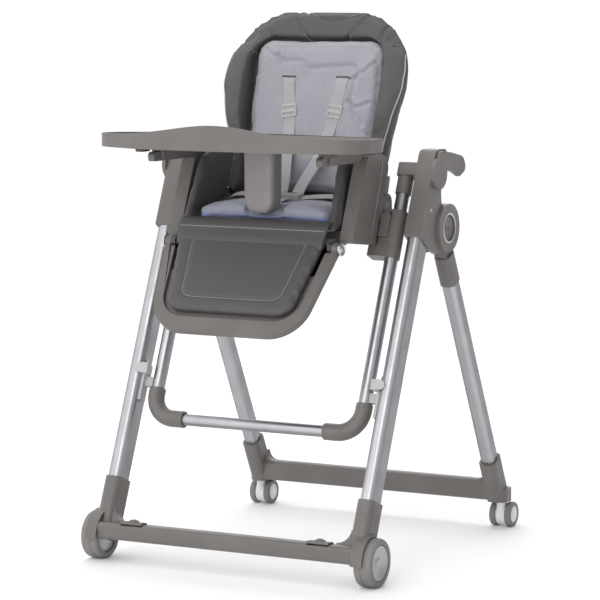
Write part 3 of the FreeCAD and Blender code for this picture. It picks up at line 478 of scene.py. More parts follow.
def group_tree(kind: GroupKind, takes: list, gives: list) -> tuple:
    """Start a shader group.

    Args:
        kind: Which effect.
        takes: List of (name, socket type, default) inputs.
        gives: List of (name, socket type) outputs.

    Returns:
        The tree, its graph, its input node and its output node.
    """
    tree = bpy.data.node_groups.new(kind.value, "ShaderNodeTree")
    for name, socket, default in takes:
        made = tree.interface.new_socket(name, in_out="INPUT", socket_type=socket)
        if default is not None:
            made.default_value = default
    for name, socket in gives:
        tree.interface.new_socket(name, in_out="OUTPUT", socket_type=socket)
    graph = Graph(tree)
    return tree, graph, graph.add("NodeGroupInput"), graph.add("NodeGroupOutput")


def build_group(kind: GroupKind) -> bpy.types.NodeTree:
    """Build one shared effect, or return it if it is there.

    Args:
        kind: Which effect.

    Returns:
        The group's tree.
    """
    if kind.value in bpy.data.node_groups:
        return bpy.data.node_groups[kind.value]
    number, colour, vector = "NodeSocketFloat", "NodeSocketColor", "NodeSocketVector"
    if kind is GroupKind.DRIFT:
        tree, g, inp, out = group_tree(kind, [("Color", colour, None), ("Scale", number, 9.0),
                                              ("Amount", number, 0.12)], [("Color", colour)])
        place = g.add("ShaderNodeTexCoord").outputs["Object"]
        noise = g.add("ShaderNodeTexNoise", {"Vector": place, "Scale": inp.outputs["Scale"],
                                             "Detail": 3.0}).outputs["Fac"]
        shift = g.math("MULTIPLY_ADD", g.math("SUBTRACT", noise, 0.5), inp.outputs["Amount"])
        shift.node.inputs[2].default_value = 1.0
        grey = g.add("ShaderNodeCombineColor", {0: shift, 1: shift, 2: shift}).outputs[0]
        tree.links.new(g.mix(1.0, inp.outputs["Color"], grey, "MULTIPLY"), out.inputs["Color"])
        return tree
    takes = [("Scale", number, 900.0), ("Vector", vector, None)]
    tree, g, inp, out = group_tree(kind, takes, [("Height", number), ("Mask", number)])
    place, scale = inp.outputs["Vector"], inp.outputs["Scale"]
    if kind is GroupKind.GRAIN:
        fine = g.add("ShaderNodeTexNoise", {"Vector": place, "Scale": scale, "Detail": 2.0,
                                            "Roughness": 0.6}).outputs["Fac"]
        pits = g.add("ShaderNodeTexVoronoi", {"Vector": place, "Scale": scale}).outputs["Distance"]
        level = g.math("ADD", fine, g.math("MULTIPLY", pits, 0.5))
        worn = g.ramp(g.add("ShaderNodeTexNoise", {"Vector": place, "Scale": 14.0, "Detail": 5.0}
                            ).outputs["Fac"], 0.42, 0.68)
    elif kind is GroupKind.LEATHER:
        bent = g.add("ShaderNodeTexNoise", {"Vector": place, "Scale": g.math("MULTIPLY", scale, 0.5)}
                     ).outputs["Color"]
        moved = g.add("ShaderNodeVectorMath", {0: bent, 3: 0.0012}, operation="SCALE").outputs[0]
        lied = g.add("ShaderNodeVectorMath", {0: place, 1: moved}, operation="ADD").outputs[0]
        cells = g.add("ShaderNodeTexVoronoi", {"Vector": lied, "Scale": scale},
                      feature="DISTANCE_TO_EDGE").outputs["Distance"]
        level = g.ramp(cells, 0.0, 0.22)
        worn = g.ramp(cells, 0.0, 0.10)
    elif kind is GroupKind.WEAVE:
        parts = g.add("ShaderNodeSeparateXYZ", {0: place})
        warp = g.math("SINE", g.math("MULTIPLY", parts.outputs[0], scale))
        weft = g.math("SINE", g.math("MULTIPLY", parts.outputs[1], scale))
        level = g.ramp(g.math("MULTIPLY", warp, weft), -1.0, 1.0)
        slub = g.add("ShaderNodeTexNoise", {"Vector": place, "Scale": 420.0, "Detail": 3.0})
        worn = g.ramp(slub.outputs["Fac"], 0.3, 0.7)
        level = g.math("ADD", level, g.math("MULTIPLY", worn, 0.6))
    else:
        drawn = g.add("ShaderNodeMapping", {"Vector": place, "Scale": (1.0, 0.03, 0.03)})
        level = g.add("ShaderNodeTexNoise", {"Vector": drawn.outputs[0], "Scale": scale,
                                             "Detail": 3.0}).outputs["Fac"]
        worn = g.ramp(g.add("ShaderNodeTexNoise", {"Vector": place, "Scale": 22.0, "Detail": 4.0}
                            ).outputs["Fac"], 0.35, 0.7)
    tree.links.new(level, out.inputs["Height"])
    tree.links.new(worn, out.inputs["Mask"])
    return tree


# ---------------------------------------------------------------- finishes
class Surface(Enum):
    """What a finish's pattern follows."""

    OBJECT = "object coordinates"
    CLOTH = "the piece's own UV map"


@dataclass(frozen=True)
class Finish:
    """One procedural finish. Colours are linear RGB."""

    name: str
    colour: tuple
    dark: tuple
    roughness: tuple
    effect: GroupKind = GroupKind.GRAIN
    scale: float = 900.0
    bump: float = 0.25
    bump_depth: float = 0.0002
    metallic: float = 0.0
    coat: float = 0.0
    sheen: float = 0.0
    specular: float = 0.5
    drift: float = 0.12
    surface: Surface = Surface.OBJECT
    turn: tuple = (0.0, 0.0, 0.0)
    below: tuple | None = None
    below_from: tuple = (0.0, 1.0)
    # edge: how far the colour darkens toward grazing angles, painted shade for dark reflections on a tube's
    # sides.
    edge: float = 0.0

    def material(self) -> bpy.types.Material:
        """The material, built once.

        Base colour goes between the two colours by the effect's mask and drifts slowly in tone;
        edge darkens it toward grazing angles as painted shade standing for dark reflections;
        roughness follows the mask; the effect's height feeds a bump.

        Returns:
            The material.
        """
        if self.name in bpy.data.materials:
            return bpy.data.materials[self.name]
        made = bpy.data.materials.new(self.name)
        made.use_nodes = True
        g = Graph(made.node_tree)
        shader = next(n for n in made.node_tree.nodes if n.type == "BSDF_PRINCIPLED")
        where = g.add("ShaderNodeTexCoord").outputs[
            "UV" if self.surface is Surface.CLOTH else "Object"]
        turned = g.add("ShaderNodeMapping", {"Vector": where, "Rotation": self.turn}).outputs[0]
        effect = g.add("ShaderNodeGroup")
        effect.node_tree = build_group(self.effect)
        effect.inputs["Scale"].default_value = self.scale
        g.tree.links.new(turned, effect.inputs["Vector"])
        base = g.mix(effect.outputs["Mask"], (*self.dark, 1.0), (*self.colour, 1.0))
        if self.below:
            height = g.add("ShaderNodeSeparateXYZ", {0: where}).outputs[2]
            base = g.mix(g.ramp(height, *self.below_from), (*self.below, 1.0), base)
        # Painted shade: the colour darkens toward grazing angles, standing in for the dark reflections
        # along a tube's sides.
        if self.edge:
            facing = g.add("ShaderNodeLayerWeight", {"Blend": 0.5}).outputs["Facing"]
            base = g.mix(g.ramp(facing, 0.10, 0.85, 0.0, self.edge), base, (0.05, 0.05, 0.055, 1.0))
        drift = g.add("ShaderNodeGroup")
        drift.node_tree = build_group(GroupKind.DRIFT)
        drift.inputs["Amount"].default_value = self.drift
        g.tree.links.new(base, drift.inputs["Color"])
        g.tree.links.new(drift.outputs["Color"], shader.inputs["Base Color"])
        g.tree.links.new(g.ramp(effect.outputs["Mask"], 0.0, 1.0, *self.roughness),
                         shader.inputs["Roughness"])
        bump = g.add("ShaderNodeBump", {"Strength": self.bump, "Distance": self.bump_depth,
                                        "Height": effect.outputs["Height"]})
        g.tree.links.new(bump.outputs[0], shader.inputs["Normal"])
        shader.inputs["Metallic"].default_value = self.metallic
        shader.inputs["Specular IOR Level"].default_value = self.specular
        shader.inputs["Coat Weight"].default_value = self.coat
        shader.inputs["Coat Roughness"].default_value = 0.25
        shader.inputs["Sheen Weight"].default_value = self.sheen
        return made


# Painted light: the same grey plastic as the other mouldings, lightened because the post's front faces the
# lamps.
LIT_POST_PLASTIC = Finish("post_moulding_painted_light", (0.232, 0.214, 0.218), (0.212, 0.196, 0.200), (0.46, 0.36),
                      scale=1500.0, bump=0.18, bump_depth=0.0001)
GREY_PLASTIC = Finish("grey_moulding", (0.148, 0.136, 0.131), (0.133, 0.122, 0.117), (0.50, 0.40),
                      scale=1500.0, bump=0.22, bump_depth=0.00012)
DARK_PLASTIC = Finish("dark_moulding", (0.070, 0.065, 0.062), (0.060, 0.055, 0.052), (0.52, 0.42),
                      scale=1500.0, bump=0.22, bump_depth=0.00012)
LINER_PLASTIC = Finish("liner_moulding", (0.30, 0.285, 0.275), (0.28, 0.265, 0.255), (0.40, 0.32),
                       scale=1200.0, bump=0.12, bump_depth=0.0001, coat=0.15)
LIGHT_PLASTIC = Finish("light_moulding", (0.46, 0.46, 0.465), (0.42, 0.42, 0.425), (0.46, 0.38),
                       scale=1500.0, bump=0.18, bump_depth=0.0001)
PALE_PLASTIC = Finish("pale_moulding", (0.78, 0.78, 0.77), (0.72, 0.72, 0.71), (0.42, 0.34),
                      scale=1500.0, bump=0.15, bump_depth=0.0001)
LEATHERETTE = Finish("leatherette", (0.060, 0.058, 0.054), (0.038, 0.037, 0.035), (0.56, 0.44),
                     effect=GroupKind.LEATHER, scale=620.0, bump=0.42, bump_depth=0.0003,
                     sheen=0.12, drift=0.16)
PAD_CLOTH = Finish("pad_cotton", (0.385, 0.382, 0.425), (0.31, 0.307, 0.345), (0.93, 0.85),
                   effect=GroupKind.WEAVE, scale=5200.0, bump=0.5, bump_depth=0.0003, sheen=0.35,
                   specular=0.25, drift=0.10, turn=(math.radians(-90), 0.0, 0.0))
SEAT_CLOTH = Finish("pad_cotton_blue", (0.40, 0.41, 0.50), (0.33, 0.34, 0.42), (0.93, 0.85),
                    effect=GroupKind.WEAVE, scale=5200.0, bump=0.5, bump_depth=0.0003, sheen=0.35,
                    specular=0.25, drift=0.18, below=(0.22, 0.28, 0.56),
                    below_from=(0.649, 0.659))
WEBBING = Finish("strap_webbing", (0.46, 0.46, 0.475), (0.35, 0.35, 0.36), (0.88, 0.78),
                 effect=GroupKind.WEAVE, scale=4200.0, bump=0.7, bump_depth=0.0004, sheen=0.2,
                 specular=0.3, surface=Surface.CLOTH)
# Drawn aluminium; its edge of 0.75 paints the tubes' sides darker as painted shade for dark reflections.
ALUMINIUM = Finish("drawn_aluminium", (0.50, 0.50, 0.525), (0.45, 0.45, 0.475), (0.42, 0.34),
                   effect=GroupKind.DRAWN, scale=1800.0, bump=0.06, bump_depth=0.00005,
                   metallic=1.0, drift=0.05, turn=(0.0, 0.0, math.radians(90)),
                   edge=0.75)
STEEL = Finish("pin_steel", (0.58, 0.57, 0.56), (0.48, 0.47, 0.46), (0.34, 0.24),
               effect=GroupKind.DRAWN, scale=1600.0, bump=0.08, bump_depth=0.00005, metallic=1.0)
HUB_DISC = Finish("hub_disc_lacquer", (0.42, 0.425, 0.44), (0.38, 0.385, 0.40), (0.40, 0.32),
                  scale=1800.0, bump=0.08, bump_depth=0.00005, metallic=0.5, coat=0.3)
SILVER = Finish("silver_lacquer", (0.66, 0.66, 0.67), (0.60, 0.60, 0.61), (0.36, 0.28),
                scale=1800.0, bump=0.08, bump_depth=0.00005, metallic=0.6, coat=0.3)
RUBBER = Finish("tyre_rubber", (0.215, 0.205, 0.198), (0.185, 0.176, 0.170), (0.72, 0.60),
                scale=1100.0, bump=0.35, bump_depth=0.0002, specular=0.4)
THREAD = Finish("sewing_thread", (0.50, 0.49, 0.46), (0.40, 0.39, 0.37), (0.75, 0.65),
                scale=2600.0, bump=0.3, bump_depth=0.0001, sheen=0.3)
PAD_THREAD = Finish("pad_thread", (0.52, 0.51, 0.55), (0.44, 0.43, 0.47), (0.8, 0.7),
                    scale=2600.0, bump=0.3, bump_depth=0.0001, sheen=0.3)
# Piping cord on the backrest wings; its light grey is a painted highlight along their rounded edges.
PIPING_PAINTED_HIGHLIGHT = Finish("edge_piping_painted_highlight", (0.42, 0.41, 0.39), (0.30, 0.29, 0.28), (0.6, 0.5),
                scale=1600.0, bump=0.3, bump_depth=0.0001)


# ---------------------------------------------------------------- rigid pieces
@dataclass
class Moulding:
    """A rigid CAD node with its edges rounded, which stands for that node."""

    node: str
    finish: Finish
    edge: float = 1.2 * MM
    angle: float = math.radians(32)
    segments: int = 2

    def build(self) -> bpy.types.Object:
        """Merge the node's loose triangles into faces and bevel the edges that turn sharply.

        Returns:
            The piece.
        """
        piece = node_copy(self.node, self.node + "_body", merge_flats=True)
        shade_smooth(piece.data)
        if self.edge > 0:
            bevel = piece.modifiers.new("Edges", "BEVEL")
            bevel.width, bevel.segments = self.edge, self.segments
            bevel.limit_method, bevel.angle_limit = "ANGLE", self.angle
            bevel.use_clamp_overlap = True
            flatten(piece)
        shade_smooth(piece.data)
        piece.data.set_sharp_from_angle(angle=math.radians(30))
        weighted = piece.modifiers.new("Shading", "WEIGHTED_NORMAL")
        weighted.keep_sharp = True
        return hand_over(piece, self.node, self.finish)


@dataclass
class RigidFrame:
    """Tubes, housings and mouldings of the folding frame and the seat."""

    tube_edge: float = 0.4 * MM
    housing_edge: float = 4.0 * MM
    base_edge: float = 2.5 * MM

    def build(self) -> None:
        """Dress every rigid node that has no detailed piece of its own."""
        single = (("front_base", GREY_PLASTIC, self.base_edge),
                  ("rear_base", GREY_PLASTIC, self.base_edge),
                  ("guide_cross_tube", ALUMINIUM, self.tube_edge),
                  ("guide_brackets", GREY_PLASTIC, 2.5 * MM),
                  ("guide_clips", LIGHT_PLASTIC, 1.2 * MM),
                  ("seat_shell", DARK_PLASTIC, 1.2 * MM),
                  ("backrest_shell", GREY_PLASTIC, 2.0 * MM),
                  ("footrest_frame", GREY_PLASTIC, 6.2 * MM),
                  ("tray", GREY_PLASTIC, 1.4 * MM),
                  ("tray_insert", LINER_PLASTIC, 0.8 * MM))
        paired = (("front_leg_lower", ALUMINIUM, 0.0), ("front_leg_upper", ALUMINIUM, 0.0),
                  ("rear_leg_upper", ALUMINIUM, 0.0), ("rear_leg_lower", ALUMINIUM, 0.0),
                  ("guide_tube", ALUMINIUM, 0.0), ("guide_elbow", GREY_PLASTIC, 1.2 * MM),
                  ("leg_housing", GREY_PLASTIC, self.housing_edge),
                  ("fold_lever", GREY_PLASTIC, 1.6 * MM),
                  ("rear_leg_socket", GREY_PLASTIC, 2.0 * MM),
                  ("seat_side", GREY_PLASTIC, 5.0 * MM), ("slider", GREY_PLASTIC, 2.5 * MM),
                  ("slider_button", GREY_PLASTIC, 1.6 * MM),
                  ("brake_pedal", GREY_PLASTIC, 0.8 * MM),
                  ("tray_latch", DARK_PLASTIC, 1.6 * MM),
                  ("caster_hood", PALE_PLASTIC, 1.2 * MM))
        both = tuple((f"{name}_{side}", finish, edge)
                     for name, finish, edge in paired for side, _ in SIDES)
        for node, finish, edge in single + both:
            Moulding(node, finish, edge).build()


@dataclass
class FrontWheel:
    """Front wheel: a smooth tyre with rounded shoulders and a dished silver hub."""

    side: str
    sign: float
    radius: float = 45.0 * MM
    half_width: float = 18.0 * MM
    rim: float = 33.0 * MM
    out: float = 0.287
    back: float = 0.029

    def build(self) -> None:
        """Turn the tyre with its groove, the dished hub and the stub axle about the axle's line."""
        centre = (self.sign * self.out, FEET_Y + self.back, self.radius)
        w, r, rim = self.half_width, self.radius, self.rim
        tyre = rounded_profile([(-w, rim, 1 * MM), (-w, r, 7 * MM), (-4.2 * MM, r, 0.6 * MM),
                                (-3.6 * MM, r - 0.9 * MM, 0.3 * MM),
                                (-2.8 * MM, r - 0.9 * MM, 0.3 * MM), (-2.2 * MM, r, 0.6 * MM),
                                (w, r, 9 * MM), (w, rim + 1 * MM, 2 * MM),
                                (w - 2.5 * MM, rim, 1 * MM)], 6)
        hub = rounded_profile([(-w + 5 * MM, 6 * MM, 1 * MM), (-w + 5 * MM, rim - 0.2 * MM, 1 * MM),
                               (w - 3 * MM, rim - 0.2 * MM, 1 * MM),
                               (w - 1.2 * MM, rim - 1.6 * MM, 1.2 * MM),
                               (w - 3.0 * MM, rim - 5 * MM, 2 * MM), (w - 6.5 * MM, 15 * MM, 6 * MM),
                               (w - 6.5 * MM, 9 * MM, 1 * MM), (w - 4.6 * MM, 8 * MM, 1 * MM),
                               (w - 4.0 * MM, 0.4 * MM, 0.2 * MM),
                               (-w + 4 * MM, 0.4 * MM, 0.2 * MM)], 5)
        axle = rounded_profile([(-37 * MM, 0.2 * MM, 0), (-37 * MM, 5 * MM, 1 * MM),
                                (-12 * MM, 5 * MM, 0), (-12 * MM, 0.2 * MM, 0)])
        hand_over(revolved(f"front_tyre_{self.side}", tyre, centre, 96, self.sign),
                  f"front_wheel_tyre_{self.side}", RUBBER)
        name = f"front_hub_{self.side}"
        hand_over(joined(name, [revolved(name, hub, centre, 96, self.sign),
                                revolved("axle", axle, centre, 32, self.sign)]),
                  f"front_wheel_hub_{self.side}", HUB_DISC)


@dataclass
class CasterWheels:
    """Twin caster wheels with ribbed tyres and pale hub caps."""

    side: str
    sign: float
    radius: float = 25.0 * MM
    half_width: float = 6.5 * MM
    track: float = 32.0 * MM
    ribs: int = 30
    out: float = 0.273
    back: float = 0.666

    def build(self) -> None:
        """Turn both tyres and their caps, press the ribs in, and add the axle."""
        centre = np.array([self.sign * self.out, FEET_Y + self.back, self.radius])
        w, r = self.half_width, self.radius
        tyres, caps = [], []
        for way in (-1.0, 1.0):
            middle = centre + (way * self.track / 2, 0, 0)
            tyre = rounded_profile([(-w, 16.5 * MM, 0.5 * MM), (-w, r, 3.2 * MM), (w, r, 3.2 * MM),
                                    (w, 16.5 * MM, 0.5 * MM)], 5)
            ring = revolved("tyre", tyre, tuple(middle), self.ribs * 6)
            points = vertices_of(ring) - middle
            angle, reach = np.arctan2(points[:, 2], points[:, 1]), np.hypot(points[:, 1], points[:, 2])
            sink = 0.55 * MM * (np.cos(angle * self.ribs) < -0.35) * (reach > 21 * MM)
            points[:, 1:] *= (1 - sink / reach)[:, None]
            move_to(ring, points + middle)
            tyres.append(ring)
            cap = rounded_profile([(-w + 1.5 * MM, 0.3 * MM, 0), (-w + 1.5 * MM, 16.4 * MM, 0.3 * MM),
                                   (w - 0.6 * MM, 16.4 * MM, 0.8 * MM), (w - 1.4 * MM, 12 * MM, 1 * MM),
                                   (w + 0.2 * MM, 9 * MM, 1.5 * MM), (w + 0.4 * MM, 0.3 * MM, 0.2 * MM)], 4)
            caps.append(revolved("cap", cap, tuple(middle), 48, way))
        axle = revolved("pin", [(-self.track / 2, 0.2 * MM), (-self.track / 2, 3 * MM),
                                (self.track / 2, 3 * MM), (self.track / 2, 0.2 * MM)],
                        tuple(centre), 24)
        node = f"caster_wheels_{self.side}"
        hand_over(joined(f"caster_tyres_{self.side}", tyres), node, RUBBER)
        hand_over(joined(f"caster_caps_{self.side}", caps + [axle]), node, PALE_PLASTIC,
                  stands_for=False)


@dataclass
class HubButton:
    """Round release button in the hub: a dished cap inside a bright ring."""

    side: str
    sign: float
    out: float = 0.284
    back: float = 0.3524
    height: float = 0.627

    def build(self) -> None:
        """Turn the cap, its stem and the ring about the hub's axis."""
        centre = (self.sign * self.out, FEET_Y + self.back, self.height)
        cap = rounded_profile([(-0.5 * MM, 0.3 * MM, 0), (-0.5 * MM, 23.6 * MM, 0.4 * MM),
                               (4.0 * MM, 23.6 * MM, 1.2 * MM), (4.4 * MM, 20.6 * MM, 1.5 * MM),
                               (2.6 * MM, 15 * MM, 5 * MM), (2.8 * MM, 0.3 * MM, 0)], 5)
        stem = rounded_profile([(-19 * MM, 0.3 * MM, 0), (-19 * MM, 5 * MM, 0.6 * MM),
                                (0, 5 * MM, 0), (0, 0.3 * MM, 0)])
        pieces = [revolved("part", shape, centre, way=self.sign) for shape in (cap, stem)]
        hand_over(joined(f"release_cap_{self.side}", pieces), f"hub_button_{self.side}",
                  GREY_PLASTIC)
        ring = rounded_profile([(3.6 * MM, 25.2 * MM, 0.5 * MM), (3.6 * MM, 29.0 * MM, 0.5 * MM),
                                (7.6 * MM, 28.6 * MM, 1.2 * MM), (7.4 * MM, 25.4 * MM, 1.0 * MM)], 4)
        hand_over(revolved(f"hub_ring_{self.side}", ring, centre, way=self.sign),
                  f"leg_housing_{self.side}", STEEL, stands_for=False)


@dataclass
class Fasteners:
    """Round housing screws with a dimple, and the footrest's metal pivot caps.

    A screw's place is given up the front leg (along) and square to it to the rear (across).
    """

    leg_rake: float = math.radians(23.2)
    across: float = -2 * MM
    along: float = 724 * MM
    screw_out: float = 0.284
    pivot_out: float = 0.1829

    def build(self) -> None:
        """Turn the heads and caps, mirrored to both sides."""
        rise, run = math.cos(self.leg_rake), math.sin(self.leg_rake)
        y = FEET_Y + self.along * run + self.across * rise
        z = self.along * rise - self.across * run
        heads, caps = [], []
        for _, sign in SIDES:
            head = rounded_profile([(-0.5 * MM, 0.2 * MM, 0), (-0.5 * MM, 3.4 * MM, 0.2 * MM),
                                    (0.5 * MM, 3.4 * MM, 0.6 * MM), (1.5 * MM, 2.2 * MM, 0.8 * MM),
                                    (1.5 * MM, 1.0 * MM, 0.2 * MM), (0.6 * MM, 0.9 * MM, 0.2 * MM),
                                    (0.6 * MM, 0.2 * MM, 0)], 4)
            heads.append(revolved("head", head, (sign * self.screw_out, y, z), 32, sign))
            cap = rounded_profile([(0, 0.3 * MM, 0), (0, 13 * MM, 0.6 * MM),
                                   (3.6 * MM, 13 * MM, 1.4 * MM),
                                   (4.6 * MM, 10.4 * MM, 0.8 * MM), (2.2 * MM, 8.6 * MM, 0.8 * MM),
                                   (2.2 * MM, 6.6 * MM, 0.5 * MM), (4.4 * MM, 5.6 * MM, 0.8 * MM),
                                   (4.8 * MM, 0.3 * MM, 0.2 * MM)], 4)
            place = (sign * self.pivot_out, *FOOTREST_ORIGIN[1:])
            caps.append(revolved("cap", cap, place, 48, sign))
        hand_over(joined("housing_screw_heads", heads), "housing_screws", STEEL)
        hand_over(joined("pivot_caps", caps), "footrest_caps", STEEL)


@dataclass
class CrotchPost:
    """Rounded post under the tray, with a nearly flat front face."""

    half_width: float = 31.0 * MM
    front: float = FEET_Y + 0.126
    rear: float = FEET_Y + 0.174
    bottom: float = 0.6595
    top: float = 0.7855
    foot: float = 31.0 * MM
    squareness: float = 4.2

    def build(self) -> None:
        """Stack rounded sections from the bottom up.

        At height h above the bottom the section is a superellipse |x/a|^n + |y/b|^n = 1, with n
        the squareness. Over the foot's height r both half sizes grow with the quarter circle
        d = sqrt(1 - (1 - h/r)^2): a from 0.40 and b from 0.62 of their full size. From bottom to
        top a also widens by 6 percent.
        """
        rows, columns, radius = 40, 72, self.foot
        height = np.concatenate([radius * (1 - np.cos(np.linspace(0.02, math.pi / 2, 16))),
                                 np.linspace(radius, self.top - self.bottom, rows - 15)[1:]])
        dome = np.sqrt(np.clip(1 - (1 - np.clip(height / radius, 0, 1)) ** 2, 0, 1))
        w, power = circle(columns), 2 / self.squareness
        cx, cy = (np.sign(part) * np.abs(part) ** power for part in (np.cos(w), np.sin(w)))
        widen = 1 + 0.06 * height / height[-1]
        a = self.half_width * (0.40 + 0.60 * dome) * widen
        b = (self.rear - self.front) / 2 * (0.62 + 0.38 * dome)
        x, y = a[:, None] * cx, (self.front + self.rear) / 2 + b[:, None] * cy
        z = np.broadcast_to((self.bottom + height)[:, None], x.shape)
        points = np.stack([x, y, z], -1).reshape(-1, 3)
        faces = grid_faces(len(height), columns, False, True).tolist()
        faces += [list(range(columns))[::-1], [(len(height) - 1) * columns + k for k in range(columns)]]
        # The post's lighter colour is painted light on the grey plastic.
        hand_over(new_piece("crotch_post_body", points, faces), "crotch_post", LIT_POST_PLASTIC)


@dataclass
class PanelSeamHighlights:
    """Fine parting lines along the side panels' creases, raised beads whose light plastic is a painted
    highlight.
    """

    width: float = 0.9 * MM
    stand: float = 0.25 * MM
    panel_out: float = 0.196

    def build(self) -> None:
        """Lay a thin bead along each panel's outer face, from its foot to its shoulder."""
        section = np.array([(-1, -1), (1, -1), (1, 1), (-1, 1)]) * self.width / 2
        for side, sign in SIDES:
            x = sign * (self.panel_out - self.width / 2 + self.stand)
            line = curve_through([(x, FEET_Y + 0.2105, 0.622), (x, FEET_Y + 0.234, 0.680),
                                  (x, FEET_Y + 0.254, 0.735), (x, FEET_Y + 0.2585, 0.757)], 40)
            # The bead's light colour is a painted highlight along the crease.
            hand_over(swept(f"panel_seam_highlight_{side}", line, section, (sign, 0, 0)),
                      f"seat_side_{side}", LIGHT_PLASTIC, stands_for=False)


# ---------------------------------------------------------------- sewn work
def nearest_on(piece: bpy.types.Object, points: np.ndarray, lift: float = 0.0) -> tuple:
    """Lay points on a piece's surface.

    Each point goes to the surface point nearest to it, then out along the normal by lift.

    Args:
        piece: The mesh object.
        points: Array (n, 3).
        lift: Distance above the surface.

    Returns:
        Laid points (n, 3) and the surface's normals there (n, 3), each normal eased with its
        two neighbours.
    """
    tree = BVHTree.FromObject(piece, bpy.context.evaluated_depsgraph_get())
    hits = [tree.find_nearest(Vector(p)) for p in points]
    place = np.array([h[0] for h in hits])
    normal = np.array([h[1] for h in hits])
    blur = np.vstack([normal[:1], normal, normal[-1:]])
    normal = blur[:-2] + blur[1:-1] + blur[2:]
    normal /= np.linalg.norm(normal, axis=1, keepdims=True)
    return place + normal * lift, normal


def cast_on(piece: bpy.types.Object, points: np.ndarray, aim: np.ndarray,
            lift: float = 0.0) -> tuple:
    """Lay points on the first surface met along a direction.

    Points whose ray misses are left out; the kept ones move back from the surface by lift.

    Args:
        piece: The mesh object.
        points: Array (n, 3).
        aim: Unit direction of the rays.
        lift: Distance kept from the surface.

    Returns:
        Laid points and the reversed ray directions there.
    """
    tree = BVHTree.FromObject(piece, bpy.context.evaluated_depsgraph_get())
    hits = [tree.ray_cast(Vector(p - aim * 0.3), Vector(aim))[0] for p in points]
    place = np.array([h for h in hits if h is not None])
    return place - aim * lift, np.broadcast_to(-aim, place.shape)


def press(piece: bpy.types.Object, line: np.ndarray, depth: float, width: float) -> None:
    """Press a sewn channel into a piece.

    A vertex at distance d from the line moves against its normal by depth exp(-(d / width)^2).

    Args:
        piece: The mesh object.
        line: Array (n, 3) along the channel.
        depth: Depth at the line.
        width: How far it spreads.
    """
    points, normals = vertices_of(piece), normals_of(piece)
    low, high = line.min(0) - 4 * width, line.max(0) + 4 * width
    near = np.where(((points > low) & (points < high)).all(1))[0]
    gap = np.sqrt(((points[near, None] - line[None]) ** 2).sum(-1)).min(1)
    points[near] -= normals[near] * (depth * np.exp(-(gap / width) ** 2))[:, None]
    move_to(piece, points)


def stitch_row(name: str, line: np.ndarray, normals: np.ndarray, aside: float = 0.0,
               pitch: float = 3.6 * MM, size: tuple = (1.45 * MM, 0.70 * MM)) -> bpy.types.Object:
    """Sew a row of stitches along a line.

    Each stitch is an ellipsoid with half length a along the line and half width b across it; row
    i of its vertices lies at angle u_i from one pole, at (a cos u, b sin u cos v, b sin u sin v).

    Args:
        name: Object name.
        line: Array (n, 3) on the surface.
        normals: Surface normals along the line.
        aside: Sideways shift of the row.
        pitch: Distance from stitch to stitch.
        size: Half length and half width.

    Returns:
        The row as one piece.
    """
    run = np.concatenate([[0], np.cumsum(np.linalg.norm(np.diff(line, axis=0), axis=1))])
    at = np.arange(pitch / 2, run[-1], pitch)
    tangent = np.gradient(line, axis=0)
    pick = [np.stack([np.interp(at, run, a[:, k]) for k in range(3)], 1)
            for a in (line, tangent, normals)]
    place, along, up = pick[0], pick[1], pick[2]
    along /= np.linalg.norm(along, axis=1, keepdims=True)
    across = np.cross(up, along)
    across /= np.linalg.norm(across, axis=1, keepdims=True)
    u = np.linspace(0.35, math.pi - 0.35, 4)[:, None]
    v = circle(6)[None]
    shape = np.stack([size[0] * np.cos(u) * np.ones_like(v), size[1] * np.sin(u) * np.cos(v),
                      size[1] * np.sin(u) * np.sin(v)], -1).reshape(-1, 3)
    basis = np.stack([along, across, up], 1)
    points = (place + across * aside)[:, None] + np.einsum("vk,skc->svc", shape, basis)
    one = grid_faces(4, 6, False, True).tolist() + [[5, 4, 3, 2, 1, 0], [18, 19, 20, 21, 22, 23]]
    faces = [[i + 24 * s for i in f] for s in range(len(at)) for f in one]
    return new_piece(name, points.reshape(-1, 3), faces)


def sewn_channel(piece: bpy.types.Object, name: str, guide: np.ndarray, depth: float,
                 width: float, rows: tuple, aim: np.ndarray) -> list:
    """Press a channel along a guide and sew stitch rows beside it.

    Args:
        piece: The soft piece.
        name: Name for the rows.
        guide: Array (n, 3) near the surface.
        depth: Channel depth.
        width: Channel width.
        rows: Sideways shift of each stitch row.
        aim: Direction in which the guide is laid on the piece.

    Returns:
        The rows.
    """
    line, _ = cast_on(piece, guide, aim)
    press(piece, line, depth, width)
    laid, normals = cast_on(piece, guide, aim, 0.15 * MM)
    return [stitch_row(f"{name}_{k}", laid, normals, aside) for k, aside in enumerate(rows)]


@dataclass(frozen=True)
class Stuffing:
    """How a soft CAD solid is remeshed and inflated.

    The skin is first drawn in by shrink, or let out if that is negative, and cap is how far the
    pressure may then move a vertex. Soften counts the smoothing steps after the remesh.
    """

    voxel: float = 5.0 * MM
    pressure: float = 4.0
    cap: float = 7.0 * MM
    shrink: float = 2.0 * MM
    soften: int = 8
    stiffness: float = 12.0


